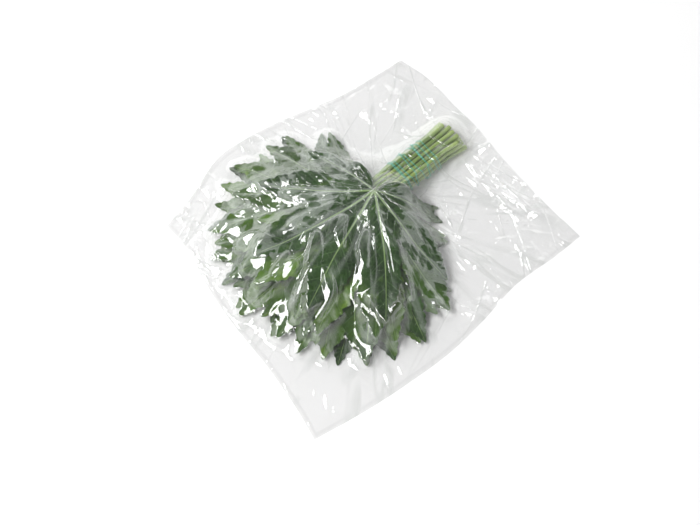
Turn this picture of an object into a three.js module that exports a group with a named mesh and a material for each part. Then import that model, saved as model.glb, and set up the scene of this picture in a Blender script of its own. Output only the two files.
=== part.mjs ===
// A bunch of cut aralia leaves, their stalks bound with thread, lying in a clear plastic bag.
// Millimetres, +Z up. The bag lies flat, and the cut stalk ends and the bag's mouth point along +X.
// Plan sizes are measured from the neck, where the stalks part, until the whole is centred at the end.

import * as THREE from 'three';

// Leaves and their fan. A reach is the distance from the neck to the notch of a blade, and each row
// of stalks has its furthest and its nearest. Turns are degrees away from -X.
const LEAF_THICKNESS = 0.7;
const LEAF_LENGTH_MIN = 150;
const LEAF_LENGTH_MAX = 198;
const TOP_LEAF_LENGTH = 206;
const TOP_LEAF_TURN = 20;
const TURN_BIAS = 10;
const TURN_SPREAD = 44;
const TURN_SCATTER = 4;
const BASE_TURN_SHARE = 0.8;
const ROW_REACH = [[114, 86], [80, 52], [44, 3]];
const FAN_CENTRE = new THREE.Vector2(-96, -14);
const FAN_RADII = new THREE.Vector2(162, 197);
const TIP_INSET_MAX = 10;
const TIP_SCATTER = 12;
const LEAF_SEED = 41;
const GOLDEN_SHARE = 0.618;
const GOLDEN_START = 0.75;

// One leaf. Lobes run from the middle one outwards, and shares are of a lobe's own length. A margin
// point has its share along the lobe and its share aside, and every second one is the tip of a tooth.
const LOBE_TURNS = [0, 34, 67, 99];
const LOBE_LENGTHS = [1, 0.95, 0.8, 0.6];
const LOBE_TURN_SCATTER = 2.5;
const LOBE_LENGTH_SCATTER = 0.06;
const SINUS_SHARE = 0.44;
const SINUS_SCATTER = 0.05;
const RIB_SHARES = [0.3, 0.52, 0.74];
const MARGIN = [[0.56, 0.152], [0.6, 0.128], [0.7, 0.142], [0.75, 0.1], [0.84, 0.09], [0.88, 0.052]];
const EAR_SHARE = 0.2;
const EAR_TURN = 32;
const NOTCH_TURN = 5;
const NOTCH_HALF = 4.6;
const NOTCH_BACK = 1.3;
const EAR_PLACE = 0.32;
const NOTCH_PLACE = 0.02;
const MARGIN_LIFT = 1.5;
const SINUS_LIFT = 0.5;
const TIP_LIFT = 0.3;

// Stalks
const STALK_DIAMETER = 6.8;
const STALK_SIDES = 6;
const STALK_ROWS = [7, 6, 5];
const STALK_STEP = 16;
const HELD_SHARE = 0.4;
const STALK_TIP_SHARE = 0.6;
const TAPER_RUN = 50;
const STALK_END_X = 145;
const STALK_END_SCATTER = 7;
const STALK_SPLAY = 1.16;
const BUNDLE_NEAR_X = 36;
const BUNDLE_FAR_X = 118;
const STRAIGHT_RUN = 17;
const BEND_PULL = 0.4;
const BUNDLE_SLOPE = 0.11;
const BUNDLE_FOOT_X = 147;

// Binding thread: a double turn at the neck, wider turns towards the cut ends, and a second layer that
// crosses them on the way back. Each entry of the route has the turns so far, how far along the bundle
// the thread is, and its layer.
const THREAD_DIAMETER = 0.9;
const THREAD_LAYER = 1.25;
const THREAD_SIDES = 4;
const THREAD_CORNERS = 12;
const THREAD_ROUTE = [[0, 44, 0], [2, 48, 0], [4, 82, 0], [6, 100, 0], [6.5, 100, 1], [8.5, 56, 1]];

// Bag: plan points of its four edges, mouth first, then round by the far side
const FILM = 0.6;
const SEAM = 4;
const MOUTH_GAPE = 4;
const MOUTH_DEPTH = 14;
const MOUTH_FRONT = 4;
const MOUTH_HALF = 9;
const BAG_CELLS_LONG = 22;
const BAG_CELLS_WIDE = 18;
const MOUTH_EDGE = [[170, 137], [180, 90], [180, 33], [181, -12], [176, -85], [176, -152], [180, -230]];
const NEAR_EDGE = [[180, -230], [133, -229], [63, -224], [-13, -234], [-89, -237], [-200, -226], [-296, -208]];
const CLOSED_EDGE = [
  [-296, -208], [-284, -151], [-275, -81], [-270, -1], [-259, 68], [-246, 118], [-245, 166],
];
const FAR_EDGE = [
  [-245, 166], [-195, 175], [-129, 195], [-81, 193], [-24, 181], [34, 163], [82, 150], [170, 137],
];

// Clearance between pieces that touch, and the cell of the height field that keeps it
const GAP = 0.35;
const CELL = 2;
const SMALLEST_WEIGHT = 1e-6;
const FIELD_MIN = new THREE.Vector2(-308, -250);
const FIELD_MAX = new THREE.Vector2(192, 206);

// Rounds of sinking that bring each kind of piece to rest, and how far it sags between its supports
const BLADE_ROUNDS = 120;
const BLADE_SAG = 5;
const STALK_ROUNDS = 60;
const STALK_SAG = 0.5;
const FILM_ROUNDS = 260;
const FILM_SAG = 1.1;

const { degToRad: radians, lerp, clamp } = THREE.MathUtils;

const MATERIALS = {
  blade: new THREE.MeshStandardMaterial({ color: 0x2c6a27, roughness: 0.32, metalness: 0 }),
  topBlade: new THREE.MeshStandardMaterial({ color: 0x245a24, roughness: 0.3, metalness: 0 }),
  stalk: new THREE.MeshStandardMaterial({ color: 0xa6c069, roughness: 0.5, metalness: 0 }),
  thread: new THREE.MeshStandardMaterial({ color: 0x3d9a86, roughness: 0.7, metalness: 0 }),
  film: new THREE.MeshStandardMaterial({
    color: 0xf1f2f0, roughness: 0.15, metalness: 0, transparent: true, opacity: 0.25,
  }),
};

function seededRandom(seed) {
  let state = seed;
  return () => {
    state = (state + 0x6d2b79f5) | 0;
    let mixed = Math.imul(state ^ (state >>> 15), 1 | state);
    mixed = (mixed + Math.imul(mixed ^ (mixed >>> 7), 61 | mixed)) ^ mixed;
    return ((mixed ^ (mixed >>> 14)) >>> 0) / 4294967296;
  };
}

function scatter(random, amount) {
  return amount * (2 * random() - 1);
}

function along(angle, distance) {
  const turn = radians(angle);
  return new THREE.Vector2(Math.cos(turn) * distance, Math.sin(turn) * distance);
}

// The top of everything laid so far, kept on a grid of small square cells
class HeightField {
  constructor(floor) {
    this.columns = Math.ceil((FIELD_MAX.x - FIELD_MIN.x) / CELL);
    this.rows = Math.ceil((FIELD_MAX.y - FIELD_MIN.y) / CELL);
    this.heights = new Float64Array(this.columns * this.rows).fill(floor);
  }

  // Calls visit(index, x, y) for each cell whose centre lies in the box
  eachCell(minX, minY, maxX, maxY, visit) {
    const firstColumn = Math.max(0, Math.floor((minX - FIELD_MIN.x) / CELL - 0.5));
    const lastColumn = Math.min(this.columns - 1, Math.ceil((maxX - FIELD_MIN.x) / CELL - 0.5));
    const firstRow = Math.max(0, Math.floor((minY - FIELD_MIN.y) / CELL - 0.5));
    const lastRow = Math.min(this.rows - 1, Math.ceil((maxY - FIELD_MIN.y) / CELL - 0.5));
    for (let row = firstRow; row <= lastRow; row += 1) {
      for (let column = firstColumn; column <= lastColumn; column += 1) {
        const x = FIELD_MIN.x + (column + 0.5) * CELL;
        const y = FIELD_MIN.y + (row + 0.5) * CELL;
        visit(row * this.columns + column, x, y);
      }
    }
  }

  raise(index, height) {
    this.heights[index] = Math.max(this.heights[index], height);
  }

  // Highest cell near a point
  around(x, y) {
    let top = -Infinity;
    this.eachCell(x - CELL, y - CELL, x + CELL, y + CELL, (index) => {
      top = Math.max(top, this.heights[index]);
    });
    return top;
  }

  // Raises the field to a patch of heights, one cell wider than the patch itself
  cover(patch) {
    for (const [index, height] of patch) {
      for (let down = -1; down <= 1; down += 1) {
        for (let across = -1; across <= 1; across += 1) {
          this.raise(index + down * this.columns + across, height);
        }
      }
    }
  }
}

// The weights of a triangle's corners at a point in plan, or null outside it
function weightsAt(a, b, c, x, y) {
  const area = (b.x - a.x) * (c.y - a.y) - (c.x - a.x) * (b.y - a.y);
  const weightB = ((x - a.x) * (c.y - a.y) - (c.x - a.x) * (y - a.y)) / area;
  const weightC = ((b.x - a.x) * (y - a.y) - (x - a.x) * (b.y - a.y)) / area;
  const weightA = 1 - weightB - weightC;
  return Math.min(weightA, weightB, weightC) < 0 ? null : [weightA, weightB, weightC];
}

function eachCellUnder(field, points, triangle, visit) {
  const [a, b, c] = triangle.map((corner) => points[corner]);
  const minX = Math.min(a.x, b.x, c.x);
  const maxX = Math.max(a.x, b.x, c.x);
  const minY = Math.min(a.y, b.y, c.y);
  const maxY = Math.max(a.y, b.y, c.y);
  field.eachCell(minX, minY, maxX, maxY, (index, x, y) => {
    const weights = weightsAt(a, b, c, x, y);
    if (weights) {
      visit(index, weights);
    }
  });
}

// Lets a sheet sink on to the field until it rests. Held corners keep their heights, and the first
// corner stays at least as high as asked.
function settle(field, points, triangles, { sag, rounds, held = new Map(), least = 0 }) {
  const floors = points.map((point) => field.around(point.x, point.y) + GAP);
  floors[0] = Math.max(floors[0], least);
  const heights = [...floors];
  const neighbours = points.map(() => new Set());
  const contacts = points.map(() => []);
  for (const triangle of triangles) {
    let top = -Infinity;
    eachCellUnder(field, points, triangle, (index, weights) => {
      const need = field.heights[index] + GAP;
      top = Math.max(top, need);
      const contact = { need, triangle, weights };
      triangle.forEach((corner, place) => contacts[corner].push([contact, weights[place]]));
    });
    for (const corner of triangle) {
      heights[corner] = Math.max(heights[corner], top);
      triangle.forEach((other) => neighbours[corner].add(other));
    }
  }
  held.forEach((height, corner) => {
    heights[corner] = height;
  });
  for (let round = 0; round < rounds; round += 1) {
    for (let corner = 0; corner < points.length; corner += 1) {
      if (held.has(corner)) {
        continue;
      }
      let sum = 0;
      neighbours[corner].forEach((other) => {
        sum += heights[other];
      });
      const others = neighbours[corner].size - 1;
      const target = (sum - heights[corner]) / others - sag;
      let fall = heights[corner] - Math.max(target, floors[corner]);
      for (const [contact, weight] of contacts[corner]) {
        if (fall <= 0) {
          break;
        }
        const { need, triangle, weights } = contact;
        const here = weights[0] * heights[triangle[0]] + weights[1] * heights[triangle[1]]
          + weights[2] * heights[triangle[2]];
        fall = Math.min(fall, Math.max(0, here - need) / Math.max(weight, SMALLEST_WEIGHT));
      }
      heights[corner] -= fall;
    }
  }
  return heights;
}

function coverWithSheet(field, points, triangles, heights, thickness) {
  const patch = [];
  for (const triangle of triangles) {
    eachCellUnder(field, points, triangle, (index, weights) => {
      const [a, b, c] = triangle.map((corner) => heights[corner]);
      patch.push([index, weights[0] * a + weights[1] * b + weights[2] * c + thickness]);
    });
  }
  field.cover(patch);
}

function geometryOf(positions, indices) {
  const geometry = new THREE.BufferGeometry();
  geometry.setAttribute('position', new THREE.Float32BufferAttribute(positions.flat(), 3));
  geometry.setIndex(indices.flat());
  geometry.computeVertexNormals();
  return geometry;
}

// Distance from a point to the oval rim of the fan in one direction
function reachToRim(from, angle) {
  const direction = along(angle, 1).divide(FAN_RADII);
  const offset = from.clone().sub(FAN_CENTRE).divide(FAN_RADII);
  const square = direction.lengthSq();
  const ahead = offset.dot(direction) / square;
  return -ahead + Math.sqrt(Math.max(0, ahead * ahead + (1 - offset.lengthSq()) / square));
}

// The plan of every leaf, lowest first: each row of stalks fans out evenly, and the leaves of the
// lower rows start further out. Within a row a stalk keeps its place among its neighbours.
function planLeaves(rows) {
  const leaves = [];
  rows.forEach((places, rowIndex) => {
    const row = places.map((place, order) => {
      const share = 1 - (2 * order + 1) / places.length;
      const key = (order * GOLDEN_SHARE + GOLDEN_START) % 1;
      return { place, turn: TURN_BIAS + TURN_SPREAD * share, key };
    });
    row.sort((a, b) => a.key - b.key);
    const [far, near] = ROW_REACH[rowIndex];
    row.forEach((leaf, order) => {
      leaf.reach = lerp(far, near, order / (row.length - 1));
    });
    leaves.push(...row);
  });
  leaves.forEach((leaf, index) => {
    const isTop = index === leaves.length - 1;
    leaf.random = seededRandom(LEAF_SEED + index);
    leaf.turn = isTop ? TOP_LEAF_TURN : leaf.turn + scatter(leaf.random, TURN_SCATTER);
    const start = new THREE.Vector2(0, leaf.place.x);
    const room = reachToRim(start, 180 + leaf.turn);
    leaf.reach = Math.min(leaf.reach, room - LEAF_LENGTH_MIN);
    const inset = TIP_INSET_MAX * leaf.random();
    leaf.length = Math.min(room - leaf.reach - inset, isTop ? TOP_LEAF_LENGTH : LEAF_LENGTH_MAX);
    leaf.base = along(180 + BASE_TURN_SHARE * leaf.turn, leaf.reach).add(start);
    leaf.endX = STALK_END_X + scatter(leaf.random, STALK_END_SCATTER);
    leaf.lobes = planLobes(leaf);
  });
  return leaves;
}

// A leaf's lobes from one side to the other, each with its direction and length
function planLobes(leaf) {
  const { random } = leaf;
  const last = LOBE_TURNS.length - 1;
  const lobes = [];
  for (let place = -last; place <= last; place += 1) {
    const side = Math.sign(place);
    const turn = side * LOBE_TURNS[Math.abs(place)] + scatter(random, LOBE_TURN_SCATTER);
    const share = LOBE_LENGTHS[Math.abs(place)] * (1 + scatter(random, LOBE_LENGTH_SCATTER));
    const room = reachToRim(leaf.base, 180 + leaf.turn + turn) - TIP_SCATTER * random();
    lobes.push({ turn, length: Math.min(share * leaf.length, room) });
  }
  return lobes;
}

// Joins two rows of corners that run side by side, each corner with its place along them
function stripBetween(left, right) {
  const triangles = [];
  let a = 0;
  let b = 0;
  while (a < left.length - 1 || b < right.length - 1) {
    const nextLeft = a < left.length - 1 ? left[a + 1].place : Infinity;
    const nextRight = b < right.length - 1 ? right[b + 1].place : Infinity;
    if (nextLeft <= nextRight) {
      triangles.push([left[a].corner, left[a + 1].corner, right[b].corner]);
      a += 1;
    } else {
      triangles.push([left[a].corner, right[b + 1].corner, right[b].corner]);
      b += 1;
    }
  }
  return triangles.filter(([p, q, r]) => p !== q && q !== r && p !== r);
}

// The flat plan of a blade: its corners, its triangles, its outline and how far each corner lifts
function bladePlan(leaf) {
  const points = [leaf.base.clone()];
  const lifts = [0];
  const heading = 180 + leaf.turn;
  const add = (angle, distance, aside, lift) => {
    const point = leaf.base.clone().add(along(heading + angle, distance));
    point.add(along(heading + angle + 90, aside));
    points.push(point);
    lifts.push(lift);
    return points.length - 1;
  };
  const { lobes, random } = leaf;
  const sinuses = [];
  for (let place = 0; place < lobes.length - 1; place += 1) {
    const [near, far] = [lobes[place], lobes[place + 1]];
    const mean = (near.length + far.length) / 2;
    const reach = SINUS_SHARE * mean * (1 + scatter(random, SINUS_SCATTER));
    const corner = add((near.turn + far.turn) / 2, reach, 0, SINUS_LIFT);
    sinuses.push({ corner, place: SINUS_SHARE });
  }
  const triangles = [];
  const outline = [];
  lobes.forEach((lobe, lobePlace) => {
    const rib = RIB_SHARES.map((share) => ({
      corner: add(lobe.turn, share * lobe.length, 0, 0),
      place: share,
    }));
    const base = { corner: 0, place: 0 };
    const tip = { corner: add(lobe.turn, lobe.length, 0, TIP_LIFT), place: 1 };
    const margins = [-1, 1].map((side) => {
      const row = MARGIN.map(([share, half]) => ({
        corner: add(lobe.turn, share * lobe.length, side * half * lobe.length, random()),
        place: share,
      }));
      const sinus = sinuses[lobePlace + (side < 0 ? -1 : 0)];
      if (sinus) {
        return [sinus, ...row, tip];
      }
      const notch = add(lobe.turn + side * NOTCH_TURN, NOTCH_HALF, 0, 0);
      const ear = add(lobe.turn + side * EAR_TURN, EAR_SHARE * leaf.length, 0, SINUS_LIFT);
      const inner = [base, { corner: notch, place: NOTCH_PLACE }, { corner: ear, place: EAR_PLACE }];
      return [...inner, ...row, tip];
    });
    const spine = [base, ...rib, tip];
    triangles.push(...stripBetween(spine, margins[0]), ...stripBetween(spine, margins[1]));
    outline.push(...margins[0].map((entry) => entry.corner));
    outline.push(...margins[1].map((entry) => entry.corner).reverse().slice(1));
  });
  const around = outline.filter((corner, place) => corner !== outline[(place + 1) % outline.length]);
  return { points, triangles: triangles.map(facingUp(points)), outline: around, lifts };
}

function facingUp(points) {
  return ([a, b, c]) => {
    const [p, q, r] = [points[a], points[b], points[c]];
    const area = (q.x - p.x) * (r.y - p.y) - (r.x - p.x) * (q.y - p.y);
    return area > 0 ? [a, b, c] : [a, c, b];
  };
}

// A closed blade: the same triangles above and below, with a rim along the outline
function bladeGeometry(plan, heights) {
  const { points, triangles, outline } = plan;
  const count = points.length;
  const lower = points.map((point, corner) => [point.x, point.y, heights[corner]]);
  const upper = points.map((point, corner) => [point.x, point.y, heights[corner] + LEAF_THICKNESS]);
  const indices = [];
  for (const [a, b, c] of triangles) {
    indices.push([a, c, b], [a + count, b + count, c + count]);
  }
  outline.forEach((corner, place) => {
    const next = outline[(place + 1) % outline.length];
    indices.push([corner, next, next + count], [corner, next + count, corner + count]);
  });
  return geometryOf([...lower, ...upper], indices);
}

// Lays a blade so that its notch meets the middle of the stalk's end
function layBlade(field, leaf, stalkEndHeight) {
  const plan = bladePlan(leaf);
  const least = stalkEndHeight - STALK_DIAMETER / 4;
  const rest = settle(field, plan.points, plan.triangles, { sag: BLADE_SAG, rounds: BLADE_ROUNDS, least });
  const heights = rest.map((height, corner) => height + MARGIN_LIFT * plan.lifts[corner]);
  return { plan, heights };
}

// The bound part of the bundle: a place in it for each stalk, row by row from the bottom
function bundlePlaces() {
  const pitch = STALK_DIAMETER + GAP;
  const rowStep = pitch * Math.sin(radians(60));
  const bottom = FILM + 2 * GAP + 2 * THREAD_LAYER + STALK_DIAMETER / 2;
  return STALK_ROWS.map((count, row) => {
    const places = [];
    for (let place = 0; place < count; place += 1) {
      const y = (place - (count - 1) / 2) * pitch;
      places.push(new THREE.Vector2(y, bottom + row * rowStep));
    }
    return places;
  });
}

// A curve through listed points, with a step of the tube at each of them
class PointPath extends THREE.Curve {
  constructor(points) {
    super();
    this.points = points;
  }

  getPoint(share) {
    const scaled = clamp(share, 0, 1) * (this.points.length - 1);
    const index = Math.min(Math.floor(scaled), this.points.length - 2);
    return this.points[index].clone().lerp(this.points[index + 1], scaled - index);
  }

  getUtoTmapping(share) {
    return share;
  }
}

function tubeGeometry(points, diameter, sides) {
  const section = new THREE.Shape();
  for (let side = 0; side < sides; side += 1) {
    const turn = (2 * Math.PI * side) / sides;
    const x = (diameter / 2) * Math.cos(turn);
    const y = (diameter / 2) * Math.sin(turn);
    section[side === 0 ? 'moveTo' : 'lineTo'](x, y);
  }
  section.closePath();
  return new THREE.ExtrudeGeometry(section, {
    extrudePath: new PointPath(points),
    steps: points.length - 1,
    curveSegments: 1,
    bevelEnabled: false,
  });
}

// Share of the full stalk thickness at a distance along the stalk beyond the binding
function stalkShare(x) {
  const beyond = clamp((BUNDLE_NEAR_X - x) / TAPER_RUN, 0, 1);
  return lerp(1, STALK_TIP_SHARE, beyond);
}

// A stalk is a tube whose loose part thins towards the blade
function stalkGeometry(points) {
  const geometry = tubeGeometry(points, STALK_DIAMETER, STALK_SIDES);
  const position = geometry.getAttribute('position');
  const corner = new THREE.Vector3();
  for (let index = 0; index < position.count; index += 1) {
    corner.fromBufferAttribute(position, index);
    const station = points.reduce((best, point) => (
      point.distanceToSquared(corner) < best.distanceToSquared(corner) ? point : best
    ));
    corner.sub(station).multiplyScalar(stalkShare(station.x)).add(station);
    position.setXYZ(index, corner.x, corner.y, corner.z);
  }
  return geometry;
}

function eachCellUnderTube(field, from, to, visit) {
  const run = to.clone().sub(from);
  const wide = STALK_DIAMETER / 2 + CELL / 2;
  const minX = Math.min(from.x, to.x) - wide;
  const maxX = Math.max(from.x, to.x) + wide;
  const minY = Math.min(from.y, to.y) - wide;
  const maxY = Math.max(from.y, to.y) + wide;
  field.eachCell(minX, minY, maxX, maxY, (index, x, y) => {
    const offset = new THREE.Vector2(x - from.x, y - from.y);
    const share = clamp(offset.dot(run) / run.lengthSq(), 0, 1);
    const aside = offset.distanceTo(run.clone().multiplyScalar(share));
    const thin = lerp(stalkShare(from.x), stalkShare(to.x), share);
    const radius = (thin * STALK_DIAMETER) / 2;
    if (aside <= radius + CELL / 2) {
      visit(index, share, Math.sqrt(Math.max(0, radius ** 2 - aside ** 2)));
    }
  });
}

// Where a stalk runs in plan, from the edge of the binding to just under its blade
function loosePlan(leaf) {
  const edge = new THREE.Vector2(BUNDLE_NEAR_X, leaf.place.x);
  const start = new THREE.Vector2(BUNDLE_NEAR_X - STRAIGHT_RUN, leaf.place.x);
  const end = leaf.base.clone().sub(along(180 + leaf.turn, NOTCH_BACK));
  const pull = BEND_PULL * start.distanceTo(end);
  const bend = new THREE.Vector2(start.x - pull, start.y);
  const arrive = end.clone().sub(along(180 + leaf.turn, pull));
  const curve = new THREE.CubicBezierCurve(start, bend, arrive, end);
  const steps = Math.max(2, Math.round(start.distanceTo(end) / STALK_STEP));
  return [edge, ...curve.getSpacedPoints(steps)];
}

// The bundle leans: its cut ends lie low and the fan holds up its neck
function bundleLift(x) {
  return Math.max(0, BUNDLE_FOOT_X - x) * BUNDLE_SLOPE;
}

// Lets the loose part of a stalk sink on to the field, held where it leaves the binding
function layStalk(field, plan, startHeight) {
  const contacts = plan.map(() => []);
  const heights = plan.map(() => startHeight);
  for (let place = 0; place < plan.length - 1; place += 1) {
    eachCellUnderTube(field, plan[place], plan[place + 1], (index, share, half) => {
      if (place === 0 && share < HELD_SHARE) {
        return;
      }
      const need = field.heights[index] + half + GAP;
      contacts[place].push({ need, place, share, weight: 1 - share });
      contacts[place + 1].push({ need, place, share, weight: share });
      heights[place] = Math.max(heights[place], need);
      heights[place + 1] = Math.max(heights[place + 1], need);
    });
  }
  heights[0] = startHeight;
  for (let round = 0; round < STALK_ROUNDS; round += 1) {
    for (let place = 1; place < plan.length; place += 1) {
      const before = heights[place - 1];
      const after = place < plan.length - 1 ? heights[place + 1] : before;
      let fall = heights[place] - ((before + after) / 2 - STALK_SAG);
      for (const contact of contacts[place]) {
        const here = lerp(heights[contact.place], heights[contact.place + 1], contact.share);
        fall = Math.min(fall, Math.max(0, here - contact.need) / Math.max(contact.weight, SMALLEST_WEIGHT));
      }
      heights[place] -= fall;
    }
  }
  return heights;
}

// The whole course of a stalk, from its cut end through the binding to its blade
function stalkCourse(field, leaf, bundleMiddle) {
  const plan = loosePlan(leaf);
  const heights = layStalk(field, plan, leaf.place.y + bundleLift(BUNDLE_NEAR_X));
  const splayed = leaf.place.clone().sub(bundleMiddle).multiplyScalar(STALK_SPLAY).add(bundleMiddle);
  return [
    new THREE.Vector3(leaf.endX, splayed.x, splayed.y),
    new THREE.Vector3(BUNDLE_FAR_X, leaf.place.x, leaf.place.y + bundleLift(BUNDLE_FAR_X)),
    ...plan.map((point, place) => new THREE.Vector3(point.x, point.y, heights[place])),
  ];
}

function coverWithStalk(field, points) {
  const patch = [];
  for (let place = 0; place < points.length - 1; place += 1) {
    const from = new THREE.Vector2(points[place].x, points[place].y);
    const to = new THREE.Vector2(points[place + 1].x, points[place + 1].y);
    eachCellUnderTube(field, from, to, (index, share, half) => {
      patch.push([index, lerp(points[place].z, points[place + 1].z, share) + half]);
    });
  }
  field.cover(patch);
}

// The outline that a taut thread follows round the bundle, at one layer of thread
function threadCorners(rows, layer) {
  const centres = rows.flat();
  const clear = STALK_DIAMETER / 2 + GAP + THREAD_DIAMETER / 2 + layer * THREAD_LAYER;
  const supports = [];
  for (let side = 0; side < THREAD_CORNERS; side += 1) {
    const turn = (2 * Math.PI * side) / THREAD_CORNERS;
    const normal = new THREE.Vector2(Math.cos(turn), Math.sin(turn));
    const reach = Math.max(...centres.map((centre) => centre.dot(normal))) + clear;
    supports.push({ normal, reach });
  }
  return supports.map((support, side) => {
    const next = supports[(side + 1) % THREAD_CORNERS];
    const cross = support.normal.cross(next.normal);
    const y = (support.reach * next.normal.y - next.reach * support.normal.y) / cross;
    const z = (next.reach * support.normal.x - support.reach * next.normal.x) / cross;
    return new THREE.Vector2(y, z);
  });
}

function makeThread(rows) {
  const layers = [threadCorners(rows, 0), threadCorners(rows, 1)];
  const turns = THREAD_ROUTE[THREAD_ROUTE.length - 1][0];
  const points = [];
  for (let step = 0; step <= turns * THREAD_CORNERS; step += 1) {
    const turn = step / THREAD_CORNERS;
    const next = THREAD_ROUTE.findIndex((entry) => entry[0] >= turn);
    const [from, to] = [THREAD_ROUTE[Math.max(0, next - 1)], THREAD_ROUTE[Math.max(1, next)]];
    const share = clamp((turn - from[0]) / (to[0] - from[0]), 0, 1);
    const corner = step % THREAD_CORNERS;
    const layer = lerp(from[2], to[2], share);
    const across = layers[0][corner].clone().lerp(layers[1][corner], layer);
    const x = lerp(from[1], to[1], share);
    points.push(new THREE.Vector3(x, across.x, across.y + bundleLift(x)));
  }
  return tubeGeometry(points, THREAD_DIAMETER, THREAD_SIDES);
}

// Fills the field over the bound part, so that blades lie beside the bundle or above its thread
function coverBundle(field, rows) {
  const corners = threadCorners(rows, 1);
  const widest = Math.max(...corners.map((corner) => corner.x));
  const shoulder = Math.max(...corners.filter((corner) => corner.x === widest).map((corner) => corner.y));
  const half = widest + THREAD_DIAMETER / 2;
  field.eachCell(BUNDLE_NEAR_X, -half, BUNDLE_FAR_X, half, (index, x, y) => {
    let top = shoulder;
    corners.forEach((corner, side) => {
      const next = corners[(side + 1) % corners.length];
      const share = (y - corner.x) / (next.x - corner.x);
      if (share >= 0 && share <= 1) {
        top = Math.max(top, lerp(corner.y, next.y, share));
      }
    });
    field.raise(index, top + THREAD_DIAMETER / 2 + bundleLift(x));
  });
}

function edgePoints(list, cells) {
  const curve = new THREE.SplineCurve(list.map(([x, y]) => new THREE.Vector2(x, y)));
  return curve.getSpacedPoints(cells);
}

// Plan of the bag as a grid between its four edges, row 0 at the mouth
function bagGrid() {
  const mouth = edgePoints(MOUTH_EDGE, BAG_CELLS_WIDE);
  const near = edgePoints(NEAR_EDGE, BAG_CELLS_LONG);
  const closed = edgePoints(CLOSED_EDGE, BAG_CELLS_WIDE).reverse();
  const far = edgePoints(FAR_EDGE, BAG_CELLS_LONG).reverse();
  const grid = [];
  for (let row = 0; row <= BAG_CELLS_LONG; row += 1) {
    const down = row / BAG_CELLS_LONG;
    const line = [];
    for (let column = 0; column <= BAG_CELLS_WIDE; column += 1) {
      const across = column / BAG_CELLS_WIDE;
      const blend = (key) => {
        const ends = (1 - down) * mouth[column][key] + down * closed[column][key];
        const sides = (1 - across) * far[row][key] + across * near[row][key];
        const top = (1 - across) * mouth[0][key] + across * mouth[BAG_CELLS_WIDE][key];
        const foot = (1 - across) * closed[0][key] + across * closed[BAG_CELLS_WIDE][key];
        return ends + sides - (1 - down) * top - down * foot;
      };
      line.push(new THREE.Vector2(blend('x'), blend('y')));
    }
    grid.push(line);
  }
  return grid;
}

// The same grid with its three closed edges drawn in by the seam
function insetGrid(grid) {
  return grid.map((line, row) => line.map((point, column) => {
    const innerRow = Math.min(row, BAG_CELLS_LONG - 1);
    const innerColumn = clamp(column, 1, BAG_CELLS_WIDE - 1);
    if (innerRow === row && innerColumn === column) {
      return point.clone();
    }
    const inward = grid[innerRow][innerColumn].clone().sub(point).setLength(SEAM);
    return point.clone().add(inward);
  }));
}

function makeBag(field) {
  const outer = bagGrid();
  const inner = insetGrid(outer);
  const lines = BAG_CELLS_LONG + 1;
  const width = BAG_CELLS_WIDE + 1;
  const cornerAt = (row, column) => row * width + column;
  const isSeam = (row, column) => row === BAG_CELLS_LONG || column === 0 || column === BAG_CELLS_WIDE;
  const cells = [];
  for (let row = 0; row < BAG_CELLS_LONG; row += 1) {
    for (let column = 0; column < BAG_CELLS_WIDE; column += 1) {
      const [a, b] = [cornerAt(row, column), cornerAt(row, column + 1)];
      const [c, d] = [cornerAt(row + 1, column + 1), cornerAt(row + 1, column)];
      cells.push(...((row + column) % 2 ? [[a, b, c], [a, c, d]] : [[a, b, d], [b, c, d]]));
    }
  }
  const innerPoints = inner.flat();
  const up = cells.map(facingUp(innerPoints));
  outer[0].slice(2, -2).forEach((point, place) => {
    const lift = MOUTH_GAPE * Math.sin((Math.PI * (place + 2)) / BAG_CELLS_WIDE);
    const [back, front] = [point.x - MOUTH_DEPTH, point.x + MOUTH_FRONT];
    field.eachCell(back, point.y - MOUTH_HALF, front, point.y + MOUTH_HALF, (index) => {
      field.raise(index, FILM + lift);
    });
  });
  const held = new Map();
  for (let row = 0; row < lines; row += 1) {
    for (let column = 0; column < width; column += 1) {
      if (isSeam(row, column)) {
        held.set(cornerAt(row, column), FILM);
      }
    }
  }
  const heights = settle(field, innerPoints, up, { sag: FILM_SAG, rounds: FILM_ROUNDS, held });
  return bagGeometry({ outer, inner, heights, up, cornerAt, isSeam });
}

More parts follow.
